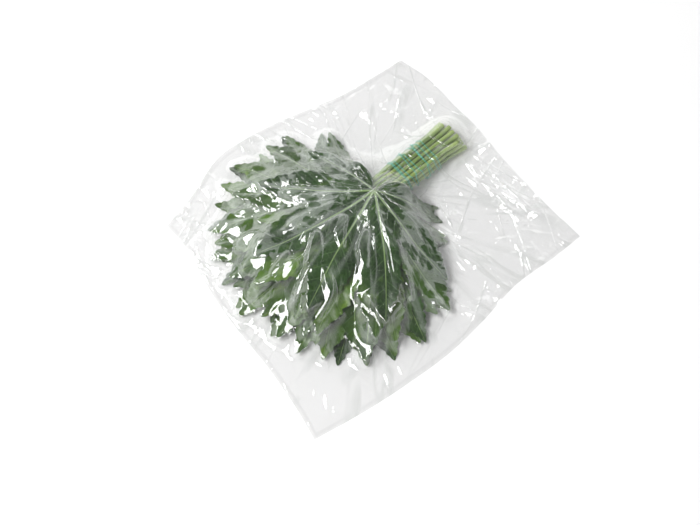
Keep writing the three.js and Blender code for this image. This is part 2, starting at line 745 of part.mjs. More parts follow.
// One closed film: the sheet above, the sheet below, the seam round three edges and an open mouth
function bagGeometry({ outer, inner, heights, up, cornerAt, isSeam }) {
  const positions = [];
  const add = (point, z) => positions.push([point.x, point.y, z]) - 1;
  const outTop = [];
  const inTop = [];
  outer.forEach((line, row) => line.forEach((point, column) => {
    const height = heights[cornerAt(row, column)];
    outTop.push(add(point, isSeam(row, column) ? 2 * FILM : height + FILM));
    inTop.push(add(inner[row][column], height));
  }));
  const loop = [];
  for (let column = 0; column < BAG_CELLS_WIDE; column += 1) {
    loop.push([0, column]);
  }
  for (let row = 0; row < BAG_CELLS_LONG; row += 1) {
    loop.push([row, BAG_CELLS_WIDE]);
  }
  for (let column = BAG_CELLS_WIDE; column > 0; column -= 1) {
    loop.push([BAG_CELLS_LONG, column]);
  }
  for (let row = BAG_CELLS_LONG; row > 0; row -= 1) {
    loop.push([row, 0]);
  }
  const outLow = loop.map(([row, column]) => add(outer[row][column], 0));
  const inLow = loop.map(([row, column]) => (
    isSeam(row, column) ? inTop[cornerAt(row, column)] : add(inner[row][column], FILM)
  ));
  const indices = [];
  for (const [a, b, c] of up) {
    indices.push([outTop[a], outTop[b], outTop[c]], [inTop[a], inTop[c], inTop[b]]);
  }
  const fill = (corners, grid, upward) => {
    const contour = loop.map(([row, column]) => grid[row][column]);
    const faces = THREE.ShapeUtils.triangulateShape(contour, []);
    for (const face of faces.map(facingUp(contour))) {
      const [a, b, c] = face.map((place) => corners[place]);
      indices.push(upward ? [a, b, c] : [a, c, b]);
    }
  };
  fill(outLow, outer, false);
  fill(inLow, inner, true);
  loop.forEach(([row, column], place) => {
    const next = (place + 1) % loop.length;
    const [nextRow, nextColumn] = loop[next];
    const [here, there] = [cornerAt(row, column), cornerAt(nextRow, nextColumn)];
    if (place < BAG_CELLS_WIDE) {
      const [a, b] = [outTop[here], outTop[there]];
      const [c, d] = [inTop[here], inTop[there]];
      indices.push([a, b, d], [a, d, c]);
      const [e, f] = [inLow[place], inLow[next]];
      const [g, h] = [outLow[place], outLow[next]];
      indices.push([e, f, h], [e, h, g]);
      return;
    }
    indices.push([outTop[here], outTop[there], outLow[next]]);
    indices.push([outTop[here], outLow[next], outLow[place]]);
  });
  const [left, right] = [cornerAt(0, 0), cornerAt(0, BAG_CELLS_WIDE)];
  indices.push([outTop[left], inTop[left], outLow[0]]);
  indices.push([outTop[right], outLow[BAG_CELLS_WIDE], inTop[right]]);
  return geometryOf(positions, indices);
}

function addMesh(group, name, geometry, material) {
  const mesh = new THREE.Mesh(geometry, material.clone());
  mesh.name = name;
  group.add(mesh);
}

function buildBunch() {
  const bunch = new THREE.Group();
  const field = new HeightField(FILM);
  const rows = bundlePlaces();
  const places = rows.flat();
  const middle = places.reduce((sum, place) => sum.add(place), new THREE.Vector2());
  middle.divideScalar(places.length);
  coverBundle(field, rows);
  planLeaves(rows).forEach((leaf, index) => {
    const name = `leaf_${String(index + 1).padStart(2, '0')}`;
    const course = stalkCourse(field, leaf, middle);
    const { plan, heights } = layBlade(field, leaf, course[course.length - 1].z);
    coverWithStalk(field, course);
    coverWithSheet(field, plan.points, plan.triangles, heights, LEAF_THICKNESS);
    addMesh(bunch, `${name}_stalk`, stalkGeometry(course), MATERIALS.stalk);
    const look = index === places.length - 1 ? MATERIALS.topBlade : MATERIALS.blade;
    addMesh(bunch, `${name}_blade`, bladeGeometry(plan, heights), look);
  });
  addMesh(bunch, 'binding_thread', makeThread(rows), MATERIALS.thread);
  addMesh(bunch, 'bag', makeBag(field), MATERIALS.film);
  return bunch;
}

const group = buildBunch();
const box = new THREE.Box3().setFromObject(group);
const centre = box.getCenter(new THREE.Vector3());
group.position.set(-centre.x, -centre.y, -box.min.z);

export default group;
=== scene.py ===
import math

import bpy
import numpy as np
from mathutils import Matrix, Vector
from mathutils.geometry import delaunay_2d_cdt


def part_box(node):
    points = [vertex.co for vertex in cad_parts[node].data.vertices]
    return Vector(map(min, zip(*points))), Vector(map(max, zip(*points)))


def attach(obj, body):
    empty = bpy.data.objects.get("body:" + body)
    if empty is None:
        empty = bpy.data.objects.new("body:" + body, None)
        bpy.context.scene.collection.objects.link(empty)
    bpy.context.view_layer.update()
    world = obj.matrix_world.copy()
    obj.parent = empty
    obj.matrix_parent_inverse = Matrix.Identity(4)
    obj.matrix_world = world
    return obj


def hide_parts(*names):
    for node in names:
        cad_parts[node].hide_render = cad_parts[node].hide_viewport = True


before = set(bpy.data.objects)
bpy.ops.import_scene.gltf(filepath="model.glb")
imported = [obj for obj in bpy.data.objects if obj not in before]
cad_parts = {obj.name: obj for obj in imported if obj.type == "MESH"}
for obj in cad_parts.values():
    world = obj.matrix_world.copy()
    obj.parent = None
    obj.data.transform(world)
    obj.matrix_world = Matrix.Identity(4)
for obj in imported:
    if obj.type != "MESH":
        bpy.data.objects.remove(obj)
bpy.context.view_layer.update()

# The looks of a bunch of cut aralia leaves in a clear bag: finer leaves, stalks, thread and film over
# the solids of the frame, with their materials, the floor, the light and the camera.
# Sizes are in millimetres, in the plan of the neck, where the stalks part, and MM makes them metres.
MM = 0.001

# Leaves and their fan, as in the part
LEAF_THICKNESS = 0.7
LEAF_LENGTH_MIN = 150
LEAF_LENGTH_MAX = 198
TOP_LEAF_LENGTH = 206
TOP_LEAF_TURN = 20
TURN_BIAS = 10
TURN_SPREAD = 44
TURN_SCATTER = 4
BASE_TURN_SHARE = 0.8
ROW_REACH = [(114, 86), (80, 52), (44, 3)]
FAN_CENTRE = np.array([-96, -14])
FAN_RADII = np.array([162, 197])
TIP_INSET_MAX = 10
TIP_SCATTER = 12
LEAF_SEED = 41
GOLDEN_SHARE = 0.618
GOLDEN_START = 0.75
LOBE_TURNS = [0, 34, 67, 99]
LOBE_LENGTHS = [1, 0.95, 0.8, 0.6]
LOBE_TURN_SCATTER = 2.5
LOBE_LENGTH_SCATTER = 0.06
SINUS_SHARE = 0.44
SINUS_SCATTER = 0.05
EAR_SHARE = 0.2
EAR_TURN = 32
NOTCH_TURN = 5
NOTCH_HALF = 4.6
NOTCH_BACK = 1.3

# Stalks and thread, as in the part
STALK_DIAMETER = 6.8
STALK_ROWS = [7, 6, 5]
STALK_TIP_SHARE = 0.6
TAPER_RUN = 50
STALK_END_X = 145
STALK_END_SCATTER = 7
STALK_SPLAY = 1.16
BUNDLE_NEAR_X = 36
BUNDLE_FAR_X = 118
STRAIGHT_RUN = 17
BEND_PULL = 0.4
LOOSE_STEP = 16
BUNDLE_SLOPE = 0.11
BUNDLE_FOOT_X = 147
THREAD_DIAMETER = 0.9
THREAD_LAYER = 1.25
THREAD_CORNERS = 12
THREAD_ROUTE = [(0, 44, 0), (2, 48, 0), (4, 82, 0), (6, 100, 0), (6.5, 100, 1), (8.5, 56, 1)]

# Bag, as in the part: plan points of its four edges and the cells between them
FILM = 0.6
GAP = 0.35
MOUTH_GAPE = 4
BAG_CELLS = (22, 18)
MOUTH_EDGE = [(170, 137), (180, 90), (180, 33), (181, -12), (176, -85), (176, -152), (180, -230)]
NEAR_EDGE = [
    (180, -230), (133, -229), (63, -224), (-13, -234), (-89, -237), (-200, -226), (-296, -208),
]
CLOSED_EDGE = [
    (-296, -208), (-284, -151), (-275, -81), (-270, -1), (-259, 68), (-246, 118), (-245, 166),
]
FAR_EDGE = [
    (-245, 166), (-195, 175), (-129, 195), (-81, 193), (-24, 181), (34, 163), (82, 150), (170, 137),
]

# Finer leaves: a margin point has its share along the lobe and its share aside
FINE_MARGIN = [
    (0.485, 0.143), (0.51, 0.135), (0.56, 0.152), (0.6, 0.128), (0.645, 0.144), (0.668, 0.13),
    (0.7, 0.142), (0.75, 0.1), (0.79, 0.112), (0.81, 0.092), (0.84, 0.09), (0.88, 0.052),
    (0.92, 0.052), (0.94, 0.03),
]
MARGIN_SCATTER = 0.006
MARGIN_WIDTHS = (0.96, 1.04)
TOOTH_BULGE = 0.12
TOOTH_HOLLOW = -0.05
EAR_BULGE = 0.16
FINE_SPACING = 2.2
GRID_CLEAR = 0.6 * FINE_SPACING
FINE_THICKNESS = 0.4
FINE_GAP = 0.12
FINE_SEED = 7
SMOOTH_ROUNDS = 52
SHARP_EDGE = 55

# Relief of a blade: fields swell between furrows over its veins, its margin ripples, its lobes roll
# and bow, and their tips curl. A share is one of the lobe's length, the rest is in millimetres.
PUFF = 1.5
PUFF_SHARE = 0.022
FURROW = 0.7
FURROW_SHARE = 0.011
FURROW_FROM = (0, 0.03)
RIPPLE = 1.6
RIPPLE_WAVES = 2.6
RIPPLE_SHARES = (0.03, 0.15)
RIPPLE_PHASES = (2.4, 1.7)
LOBE_ROLL = 0.16
ROLL_SHARES = (0.15, 0.5)
LOBE_BOW = 0.035
TIP_CURL = (-3.0, 7.0)
CURL_SHARES = (0.6, 1)
CURL_ROOM = 0.8
LATERAL_STEP = 0.105
LATERAL_LEAN = 0.84
LATERAL_CURVE = 1.5
BASE_RUN = 16
RELIEF_RUN = 30

# The camera's view
VIEW_AZIMUTH = -41.4
VIEW_ELEVATION = 70
VIEW_DISTANCE = 4.9
LENS = 180
VIEW_CENTRE = np.array([-87.8, -45.7])

# The grid of heights that leaves and film are laid on
CELL = 1.6
FIELD_LOW = np.array([-308, -250])
FIELD_HIGH = np.array([192, 206])
NO_CEILING = 1000.0
LEAST_AREA = 0.01
NOISE_LATTICE = 64

# Steps that curves are first drawn with
SPLINE_STEPS = 40
BEZIER_STEPS = 200

rng = np.random.default_rng(FINE_SEED)


def lerp(a, b, share):
    return a + (b - a) * share


def direction(angle):
    turn = math.radians(angle)
    return np.array([math.cos(turn), math.sin(turn)])


def length_of(vectors):
    return np.linalg.norm(vectors, axis=-1)


def unit(vectors):
    return vectors / length_of(vectors)[..., None]


def spanned(a, b):
    """Twice the area that vectors of the plan span, negative where b lies clockwise of a."""
    return a[..., 0] * b[..., 1] - b[..., 0] * a[..., 1]


def bell(value, width):
    """1 at zero, falling off smoothly on both sides."""
    return np.exp(-(value / width)**2)


def smoothstep(low, high, value):
    share = np.clip((value - low) / (high - low), 0, 1)
    return share * share * (3 - 2 * share)


def seeded_random(seed):
    """The same stream of numbers between 0 and 1 that the part draws from."""
    state = seed

    def draw():
        nonlocal state
        full = 0xFFFFFFFF
        state = (state + 0x6D2B79F5) & full
        mixed = ((state ^ (state >> 15)) * (1 | state)) & full
        stirred = ((mixed ^ (mixed >> 7)) * (61 | mixed)) & full
        mixed = ((mixed + stirred) & full) ^ mixed
        return (mixed ^ (mixed >> 14)) / (full + 1)

    return draw


def scatter(random, amount):
    return amount * (2 * random() - 1)


# Plan of the bunch, by the part's own rules
def reach_to_rim(start, angle):
    """Distance from a point to the oval rim of the fan in one direction."""
    heading = direction(angle) / FAN_RADII
    offset = (start - FAN_CENTRE) / FAN_RADII
    square = heading @ heading
    ahead = offset @ heading / square
    return -ahead + math.sqrt(max(0, ahead * ahead + (1 - offset @ offset) / square))


def bundle_places():
    """Where each stalk runs in the bound part: across and up, row by row from the bottom."""
    pitch = STALK_DIAMETER + GAP
    bottom = FILM + 2 * GAP + 2 * THREAD_LAYER + STALK_DIAMETER / 2
    rows = []
    for row, count in enumerate(STALK_ROWS):
        height = bottom + row * pitch * math.sin(math.radians(60))
        rows.append([np.array([(i - (count - 1) / 2) * pitch, height]) for i in range(count)])
    return rows


def plan_lobes(leaf):
    random = leaf["random"]
    lobes = []
    for place in range(-3, 4):
        turn = np.sign(place) * LOBE_TURNS[abs(place)] + scatter(random, LOBE_TURN_SCATTER)
        share = LOBE_LENGTHS[abs(place)] * (1 + scatter(random, LOBE_LENGTH_SCATTER))
        room = reach_to_rim(leaf["base"], leaf["heading"] + turn) - TIP_SCATTER * random()
        lobes.append({"turn": turn, "length": min(share * leaf["length"], room)})
    for near, far in zip(lobes, lobes[1:]):
        mean = (near["length"] + far["length"]) / 2
        near["sinus_turn"] = (near["turn"] + far["turn"]) / 2
        near["sinus_reach"] = SINUS_SHARE * mean * (1 + scatter(random, SINUS_SCATTER))
    return lobes


def fan_rows(rows):
    """Every leaf, lowest first, with its place in the bundle, its turn and its reach to its base."""
    leaves = []
    for places, (far, near) in zip(rows, ROW_REACH):
        row = []
        for order, place in enumerate(places):
            share = 1 - (2 * order + 1) / len(places)
            key = (order * GOLDEN_SHARE + GOLDEN_START) % 1
            row.append({"place": place, "turn": TURN_BIAS + TURN_SPREAD * share, "key": key})
        row.sort(key=lambda leaf: leaf["key"])
        for order, leaf in enumerate(row):
            leaf["reach"] = lerp(far, near, order / (len(row) - 1))
        leaves += row
    return leaves


def plan_leaves(rows):
    """Every leaf, lowest first, with its base, heading and lobes, and how those are bent."""
    leaves = fan_rows(rows)
    for index, leaf in enumerate(leaves):
        is_top = index == len(leaves) - 1
        random = leaf["random"] = seeded_random(LEAF_SEED + index)
        leaf["turn"] = TOP_LEAF_TURN if is_top else leaf["turn"] + scatter(random, TURN_SCATTER)
        leaf["heading"] = 180 + leaf["turn"]
        start = np.array([0, leaf["place"][0]])
        room = reach_to_rim(start, leaf["heading"])
        reach = min(leaf["reach"], room - LEAF_LENGTH_MIN)
        inset = TIP_INSET_MAX * random()
        longest = TOP_LEAF_LENGTH if is_top else LEAF_LENGTH_MAX
        leaf["length"] = min(room - reach - inset, longest)
        leaf["base"] = start + reach * direction(180 + BASE_TURN_SHARE * leaf["turn"])
        leaf["end_x"] = STALK_END_X + scatter(random, STALK_END_SCATTER)
        leaf["lobes"] = plan_lobes(leaf)
        leaf["name"] = f"leaf_{index + 1:02d}"
        leaf["rolls"] = rng.uniform(-LOBE_ROLL, LOBE_ROLL, len(leaf["lobes"]))
        leaf["curls"] = rng.uniform(*TIP_CURL, len(leaf["lobes"]))
        leaf["highest"] = BAG_TOP - CURL_ROOM * (len(leaves) - index + 1)
        leaf["bows"] = rng.uniform(-LOBE_BOW, LOBE_BOW, len(leaf["lobes"]))
    return leaves


def lengths_along(line):
    return np.concatenate([[0], np.cumsum(length_of(np.diff(line, axis=0)))])


def spaced_points(points, count):
    """Points at even steps along a line of close points, its two ends among them."""
    points = np.asarray(points, float)
    along = lengths_along(points)
    wanted = np.linspace(0, along[-1], count + 1)
    return np.stack([np.interp(wanted, along, column) for column in points.T], 1)


def spline_points(points, count):
    """Even steps along the smooth curve through listed points."""
    points = np.asarray(points, float)
    last = len(points) - 1
    line = []
    for share in np.linspace(0, last, SPLINE_STEPS * last + 1):
        index = min(int(share), last - 1)
        t = share - index
        a, b = points[max(index - 1, 0)], points[index]
        c, d = points[index + 1], points[min(index + 2, last)]
        line.append(0.5 * (2 * b + (c - a) * t + (2 * a - 5 * b + 4 * c - d) * t**2
                           + (3 * b - a - 3 * c + d) * t**3))
    return spaced_points(line, count)


def bezier_points(a, b, c, d, count):
    t = np.linspace(0, 1, BEZIER_STEPS)[:, None]
    line = a * (1 - t)**3 + 3 * b * t * (1 - t)**2 + 3 * c * t**2 * (1 - t) + d * t**3
    return spaced_points(line, count)


def bag_grid(long, wide):
    """Plan of the bag between its four edges, row 0 at the mouth, as (long + 1, wide + 1, 2)."""
    mouth = spline_points(MOUTH_EDGE, wide)
    near = spline_points(NEAR_EDGE, long)
    closed = spline_points(CLOSED_EDGE, wide)[::-1]
    far = spline_points(FAR_EDGE, long)[::-1]
    down = np.linspace(0, 1, long + 1)[:, None, None]
    across = np.linspace(0, 1, wide + 1)[None, :, None]
    ends = (1 - down) * mouth[None] + down * closed[None]
    sides = (1 - across) * far[:, None] + across * near[:, None]
    top = (1 - across) * mouth[0] + across * mouth[-1]
    foot = (1 - across) * closed[0] + across * closed[-1]
    return ends + sides - (1 - down) * top - down * foot


# The neck's place in the frame: the bag's plan and the bag's box have the same low corner
BAG_LOW = Vector(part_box("bag")[0])
BAG_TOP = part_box("bag")[1][2] / MM
NECK = np.array(BAG_LOW[:2]) / MM - bag_grid(*BAG_CELLS).min(axis=(0, 1))


def to_frame(plan, heights):
    """Points of the neck's plan, with their heights, as metres in the frame."""
    return np.column_stack([plan + NECK, heights]) * MM


# Heights over the plan
COLUMNS = int((FIELD_HIGH[0] - FIELD_LOW[0]) / CELL)
ROWS = int((FIELD_HIGH[1] - FIELD_LOW[1]) / CELL)
CELLS = np.stack(np.meshgrid(
    FIELD_LOW[0] + (np.arange(COLUMNS) + 0.5) * CELL,
    FIELD_LOW[1] + (np.arange(ROWS) + 0.5) * CELL,
), -1)


def read_field(field, plan):
    """Heights of the field at points of the plan, smooth between the cells."""
    column = np.clip((plan[..., 0] - FIELD_LOW[0]) / CELL - 0.5, 0, COLUMNS - 1.001)
    row = np.clip((plan[..., 1] - FIELD_LOW[1]) / CELL - 0.5, 0, ROWS - 1.001)
    i, j = row.astype(int), column.astype(int)
    u, v = row - i, column - j
    low = lerp(field[i, j], field[i, j + 1], v)
    high = lerp(field[i + 1, j], field[i + 1, j + 1], v)
    return lerp(low, high, u)


def shifted(field, down, across):
    """The field moved by whole cells, its edge repeated."""
    padded = np.pad(field, 1, mode="edge")
    return padded[1 + down:1 + down + field.shape[0], 1 + across:1 + across + field.shape[1]]


def neighbours(field):
    return [shifted(field, i, j) for i in (-1, 0, 1) for j in (-1, 0, 1)]


def widened(field):
    """Each cell takes the highest value near it."""
    return np.maximum.reduce(neighbours(field))


def softened(field, weight):
    """One round of smoothing that only looks at cells with weight."""
    kernel = [1, 2, 1, 2, 4, 2, 1, 2, 1]
    total = sum(k * n for k, n in zip(kernel, neighbours(field * weight)))
    share = sum(k * n for k, n in zip(kernel, neighbours(weight)))
    return np.where(share > 0, total / np.maximum(share, 1e-9), field)


def filled(field):
    """Empty cells take the mean of their neighbours, working outwards."""
    while np.isnan(field).any():
        known = ~np.isnan(field)
        near = softened(np.where(known, field, 0), known.astype(float))
        reached = widened(known.astype(float)) > 0
        field = np.where(known, field, np.where(reached, near, np.nan))
    return field


def window_of(points, margin):
    """The cells within a margin of the box round some points."""
    low = np.floor((points.min(0) - margin - FIELD_LOW) / CELL).astype(int)
    high = np.ceil((points.max(0) + margin - FIELD_LOW) / CELL).astype(int)
    low = np.maximum(low, 0)
    return np.s_[low[1]:high[1], low[0]:high[0]]


def whole(values, part):
    """A patch of heights as part of the whole field."""
    field = np.zeros((ROWS, COLUMNS))
    field[part] = values
    return field


def corners_of(node):
    """The corners of a solid in millimetres, in the plan of the neck."""
    vertices = bpy.data.objects[node].data.vertices
    corners = np.empty(len(vertices) * 3)
    vertices.foreach_get("co", corners)
    return corners.reshape(-1, 3) / MM - np.append(NECK, 0)


def top_of(node):
    """The heights of a node's upward faces over the cells, empty beside it."""
    corners = corners_of(node)
    mesh = bpy.data.objects[node].data
    mesh.calc_loop_triangles()
    triangles = np.empty(len(mesh.loop_triangles) * 3, int)
    mesh.loop_triangles.foreach_get("vertices", triangles)
    heights = np.full((ROWS, COLUMNS), np.nan)
    for triangle in corners[triangles.reshape(-1, 3)]:
        (a, b, c), z = triangle[:, :2], triangle[:, 2]
        area = spanned(b - a, c - a)
        if area < LEAST_AREA:
            continue
        part = window_of(triangle[:, :2], CELL)
        offset = CELLS[part] - a
        in_b = spanned(offset, c - a) / area
        in_c = spanned(b - a, offset) / area
        inside = (in_b >= 0) & (in_c >= 0) & (in_b + in_c <= 1)
        height = z[0] + in_b * (z[1] - z[0]) + in_c * (z[2] - z[0])
        heights[part] = np.where(inside, np.fmax(heights[part], height), heights[part])
    return heights


def inside_outline(outline, points):
    """Whether each point lies inside a closed outline."""
    x, y = points[..., 0], points[..., 1]
    inside = np.zeros(x.shape, bool)
    for (ax, ay), (bx, by) in zip(outline, np.roll(outline, -1, axis=0)):
        if ay != by:
            crosses = (ay > y) != (by > y)
            inside ^= crosses & (x < (bx - ax) * (y - ay) / (by - ay) + ax)
    return inside


def smooth_noise(plan, size, seed):
    """Soft random hills between -1 and 1, with hills of about one size."""
    n = NOISE_LATTICE
    lattice = np.random.default_rng(seed).uniform(-1, 1, (n, n))
    u, v = plan[..., 0] / size + n / 2, plan[..., 1] / size + n / 2
    i, j = np.floor(u).astype(int), np.floor(v).astype(int)
    s, t = smoothstep(0, 1, u - i), smoothstep(0, 1, v - j)
    low = lerp(lattice[i % n, j % n], lattice[(i + 1) % n, j % n], s)
    high = lerp(lattice[i % n, (j + 1) % n], lattice[(i + 1) % n, (j + 1) % n], s)
    return lerp(low, high, t)


# Meshes
def new_object(name, data):
    thing = bpy.data.objects.new(name, data)
    bpy.context.scene.collection.objects.link(thing)
    return thing


def mesh_object(name, vertices, faces, uvs=None):
    """A new piece in metres. Faces is a list of arrays of corner numbers, uvs one pair a corner."""
    mesh = bpy.data.meshes.new(name)
    corners = np.concatenate([block.ravel() for block in faces])
    sizes = np.concatenate([np.full(len(block), block.shape[1]) for block in faces])
    mesh.vertices.add(len(vertices))
    mesh.vertices.foreach_set("co", np.asarray(vertices, np.float32).ravel())
    mesh.loops.add(len(corners))
    mesh.loops.foreach_set("vertex_index", corners.astype(np.int32))
    mesh.polygons.add(len(sizes))
    mesh.polygons.foreach_set("loop_start", (np.cumsum(sizes) - sizes).astype(np.int32))
    mesh.polygons.foreach_set("use_smooth", np.full(len(sizes), True))
    if uvs is not None:
        layer = mesh.uv_layers.new(name="plan")
        layer.data.foreach_set("uv", np.asarray(uvs, np.float32).ravel())
    mesh.update(calc_edges=True)
    mesh.validate()
    piece = new_object(name, mesh)
    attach(piece, "root")
    return piece


# Leaves
def curved_run(a, b, bulge, count):
    """A shallow arc from a to b, without its last point. A bulge is a share of its length."""
    t = np.linspace(0, 1, count + 1)[:-1, None]
    across = np.array([b[1] - a[1], a[0] - b[0]])
    return a + (b - a) * t + across * bulge * 4 * t * (1 - t)


def lobe_sides(leaf, index):
    """The listed points of both margins of a lobe, each from its sinus or its ear to its tip."""
    base, heading, lobes = leaf["base"], leaf["heading"], leaf["lobes"]
    lobe = lobes[index]
    axis = direction(heading + lobe["turn"])
    aside = np.array([-axis[1], axis[0]])
    sides = []
    for side in (-1, 1):
        row = []
        for share, half in FINE_MARGIN:
            along = (share + rng.uniform(-MARGIN_SCATTER, MARGIN_SCATTER)) * lobe["length"]
            half = half * rng.uniform(*MARGIN_WIDTHS)
            row.append(base + axis * along + aside * side * half * lobe["length"])
        if 0 <= index + side < len(lobes):
            edge = lobes[index - 1] if side < 0 else lobe
            start = [base + direction(heading + edge["sinus_turn"]) * edge["sinus_reach"]]
        else:
            notch = base + NOTCH_HALF * direction(heading + lobe["turn"] + side * NOTCH_TURN)
            ear = direction(heading + lobe["turn"] + side * EAR_TURN) * EAR_SHARE
            start = [notch, base + ear * leaf["length"]]
        sides.append(start + row + [base + axis * lobe["length"]])
    return sides


def margin_runs(points, side, has_ear):
    """Arcs between the listed points of a margin: full towards each tip, hollow after it."""
    runs = []
    for place, (a, b) in enumerate(zip(points, points[1:])):
        bulge = TOOTH_BULGE if (place - has_ear) % 2 == 0 else TOOTH_HOLLOW
        if has_ear and place < 2:
            bulge = EAR_BULGE
        count = max(1, round(np.linalg.norm(b - a) / FINE_SPACING))
        runs.append(curved_run(a, b, -side * bulge, count))
    return runs


def leaf_outline(leaf):
    """The toothed outline of a blade in plan, round from its base."""
    last = len(leaf["lobes"]) - 1
    outline = [leaf["base"][None]]
    for index in range(last + 1):
        near, far = lobe_sides(leaf, index)
        outline += margin_runs(near, -1, index == 0)
        back = margin_runs(far, 1, index == last)
        reverse = np.concatenate(back + [far[-1][None]])[::-1]
        outline.append(reverse if index == last else reverse[:-1])
    return np.concatenate(outline)


def lobe_places(leaf, plan):
    """For points of the plan: their lobe, and their shares along and aside of its length."""
    offset = plan - leaf["base"]
    beyond = np.arctan2(offset[..., 1], offset[..., 0]) - math.radians(leaf["heading"])
    turn = np.degrees((beyond + math.pi) % (2 * math.pi) - math.pi)
    borders = [lobe["sinus_turn"] for lobe in leaf["lobes"][:-1]]
    lobe = np.searchsorted(borders, turn)
    return lobe, lobe_shares(leaf, plan, lobe)


def lobe_shares(leaf, plan, lobe):
    """Shares of the lobe's length along and aside of its middle rib, which bows a little."""
    offset = plan - leaf["base"]
    turns = np.radians([leaf["heading"] + item["turn"] for item in leaf["lobes"]])[lobe]
    lengths = np.array([item["length"] for item in leaf["lobes"]])[lobe]
    along = offset[..., 0] * np.cos(turns) + offset[..., 1] * np.sin(turns)
    aside = offset[..., 1] * np.cos(turns) - offset[..., 0] * np.sin(turns)
    share = along / lengths
    bow = leaf["bows"][lobe] * np.sin(math.pi * np.clip(share, 0, 1))
    return np.stack([share, aside / lengths - bow], -1)


def vein_places(shares):
    """Distances from the middle rib and the nearest side vein, as shares of a lobe's length."""
    half = np.abs(shares[..., 1])
    run = shares[..., 0] - LATERAL_LEAN * half - LATERAL_CURVE * half**2
    cycle = run / LATERAL_STEP + np.where(shares[..., 1] > 0, 0.5, 0)
    return half, np.abs(cycle - np.round(cycle)) * LATERAL_STEP


def leaf_relief(leaf, plan):
    """How far a blade swells between its veins, waves towards its margin and curls at its tips."""
    lobe, shares = lobe_places(leaf, plan)
    share, aside = shares[..., 0], shares[..., 1]
    half, from_vein = vein_places(shares)
    swell = PUFF * (1 - bell(half, PUFF_SHARE))
    furrow = FURROW * bell(from_vein, FURROW_SHARE) * smoothstep(*FURROW_FROM, half)
    phase = RIPPLE_PHASES[0] * lobe + RIPPLE_PHASES[1] * leaf["turn"] + np.sign(aside)
    wave = RIPPLE * np.sin(2 * math.pi * share * RIPPLE_WAVES + phase)
    wave = wave * smoothstep(*RIPPLE_SHARES, half)
    roll = leaf["rolls"][lobe] * aside * leaf["length"] * smoothstep(*ROLL_SHARES, share)
    curl = leaf["curls"][lobe] * smoothstep(*CURL_SHARES, share)
    return swell - furrow + wave + roll + curl


def lay_leaf(leaf, outline, field, ceiling):
    """The underside of a blade over its cells, on what lies below it and near its own solid."""
    part = window_of(outline, 5 * CELL)
    plan = CELLS[part]
    solid = filled(top_of(leaf["name"] + "_blade")[part]) - LEAF_THICKNESS
    inside = inside_outline(outline, plan)
    domain = widened(widened(inside.astype(float)))
    floor = widened(field[part]) + FINE_GAP
    roof = ceiling[part] - FINE_THICKNESS - FINE_GAP
    height = np.maximum(solid, floor)
    for _ in range(SMOOTH_ROUNDS):
        height = np.maximum(softened(height, domain), floor)
    height = np.where(domain > 0, height, floor)
    from_base = length_of(plan - leaf["base"])
    lift = read_field(whole(solid - height, part), leaf["base"])
    height = height + lift * bell(from_base, BASE_RUN)
    relief = leaf_relief(leaf, plan) * smoothstep(0, RELIEF_RUN, from_base)
    raised = np.minimum(height + relief, np.maximum(height, leaf["highest"]))
    height = np.maximum(np.minimum(raised, roof), floor)
    height = np.maximum(softened(height, domain), floor)
    return part, inside, height


def rib_points(leaf, outline):
    """The outline's points, points along ribs and lobe borders, and the edges that join those."""
    points = list(outline)
    edges = []
    lines = [(lobe["turn"], lobe["length"]) for lobe in leaf["lobes"]]
    lines += [(lobe["sinus_turn"], lobe["sinus_reach"]) for lobe in leaf["lobes"][:-1]]
    for turn, reach in lines:
        count = max(2, round(reach / FINE_SPACING))
        previous = 0
        for step in range(1, count + 1):
            points.append(leaf["base"] + direction(leaf["heading"] + turn) * reach * step / count)
            edges.append((previous, len(points) - 1))
            previous = len(points) - 1
    return np.array(points), edges


def inner_points(outline, fixed):
    """An even triangular grid inside the outline, clear of the fixed points."""
    low, high = outline.min(0), outline.max(0)
    rise = FINE_SPACING * math.sin(math.radians(60))
    grid = []
    for row, y in enumerate(np.arange(low[1], high[1], rise)):
        xs = np.arange(low[0] + (row % 2) * FINE_SPACING / 2, high[0], FINE_SPACING)
        grid.append(np.column_stack([xs, np.full(len(xs), y)]))
    grid = np.concatenate(grid)
    grid = grid[inside_outline(outline, grid)]
    nearest = np.full(len(grid), np.inf)
    for point in fixed:
        nearest = np.minimum(nearest, ((grid - point)**2).sum(1))
    return grid[nearest > GRID_CLEAR**2]


def blade_mesh(leaf, outline):
    """Points and triangles of a blade in plan, with edges along its ribs and between its lobes."""
    fixed, edges = rib_points(leaf, outline)
    points = np.concatenate([fixed, inner_points(outline, fixed)])
    loop = list(range(len(outline)))
    points = [Vector(point) for point in points]
    plan, _, triangles, *_ = delaunay_2d_cdt(points, edges, [loop], 1, 1e-4)
    plan, triangles = np.array(plan), np.array(triangles)
    a, b, c = (plan[triangles[:, corner]] for corner in range(3))
    is_down = spanned(b - a, c - a) < 0
    triangles[is_down] = triangles[is_down][:, ::-1]
    return plan, triangles


def rim_edges(triangles, count):
    """The edges that only one triangle has, in that triangle's own order."""
    sides = np.concatenate([triangles[:, [0, 1]], triangles[:, [1, 2]], triangles[:, [2, 0]]])
    keys = sides.min(1) * count + sides.max(1)
    _, first, times = np.unique(keys, return_index=True, return_counts=True)
    return sides[first[times == 1]]


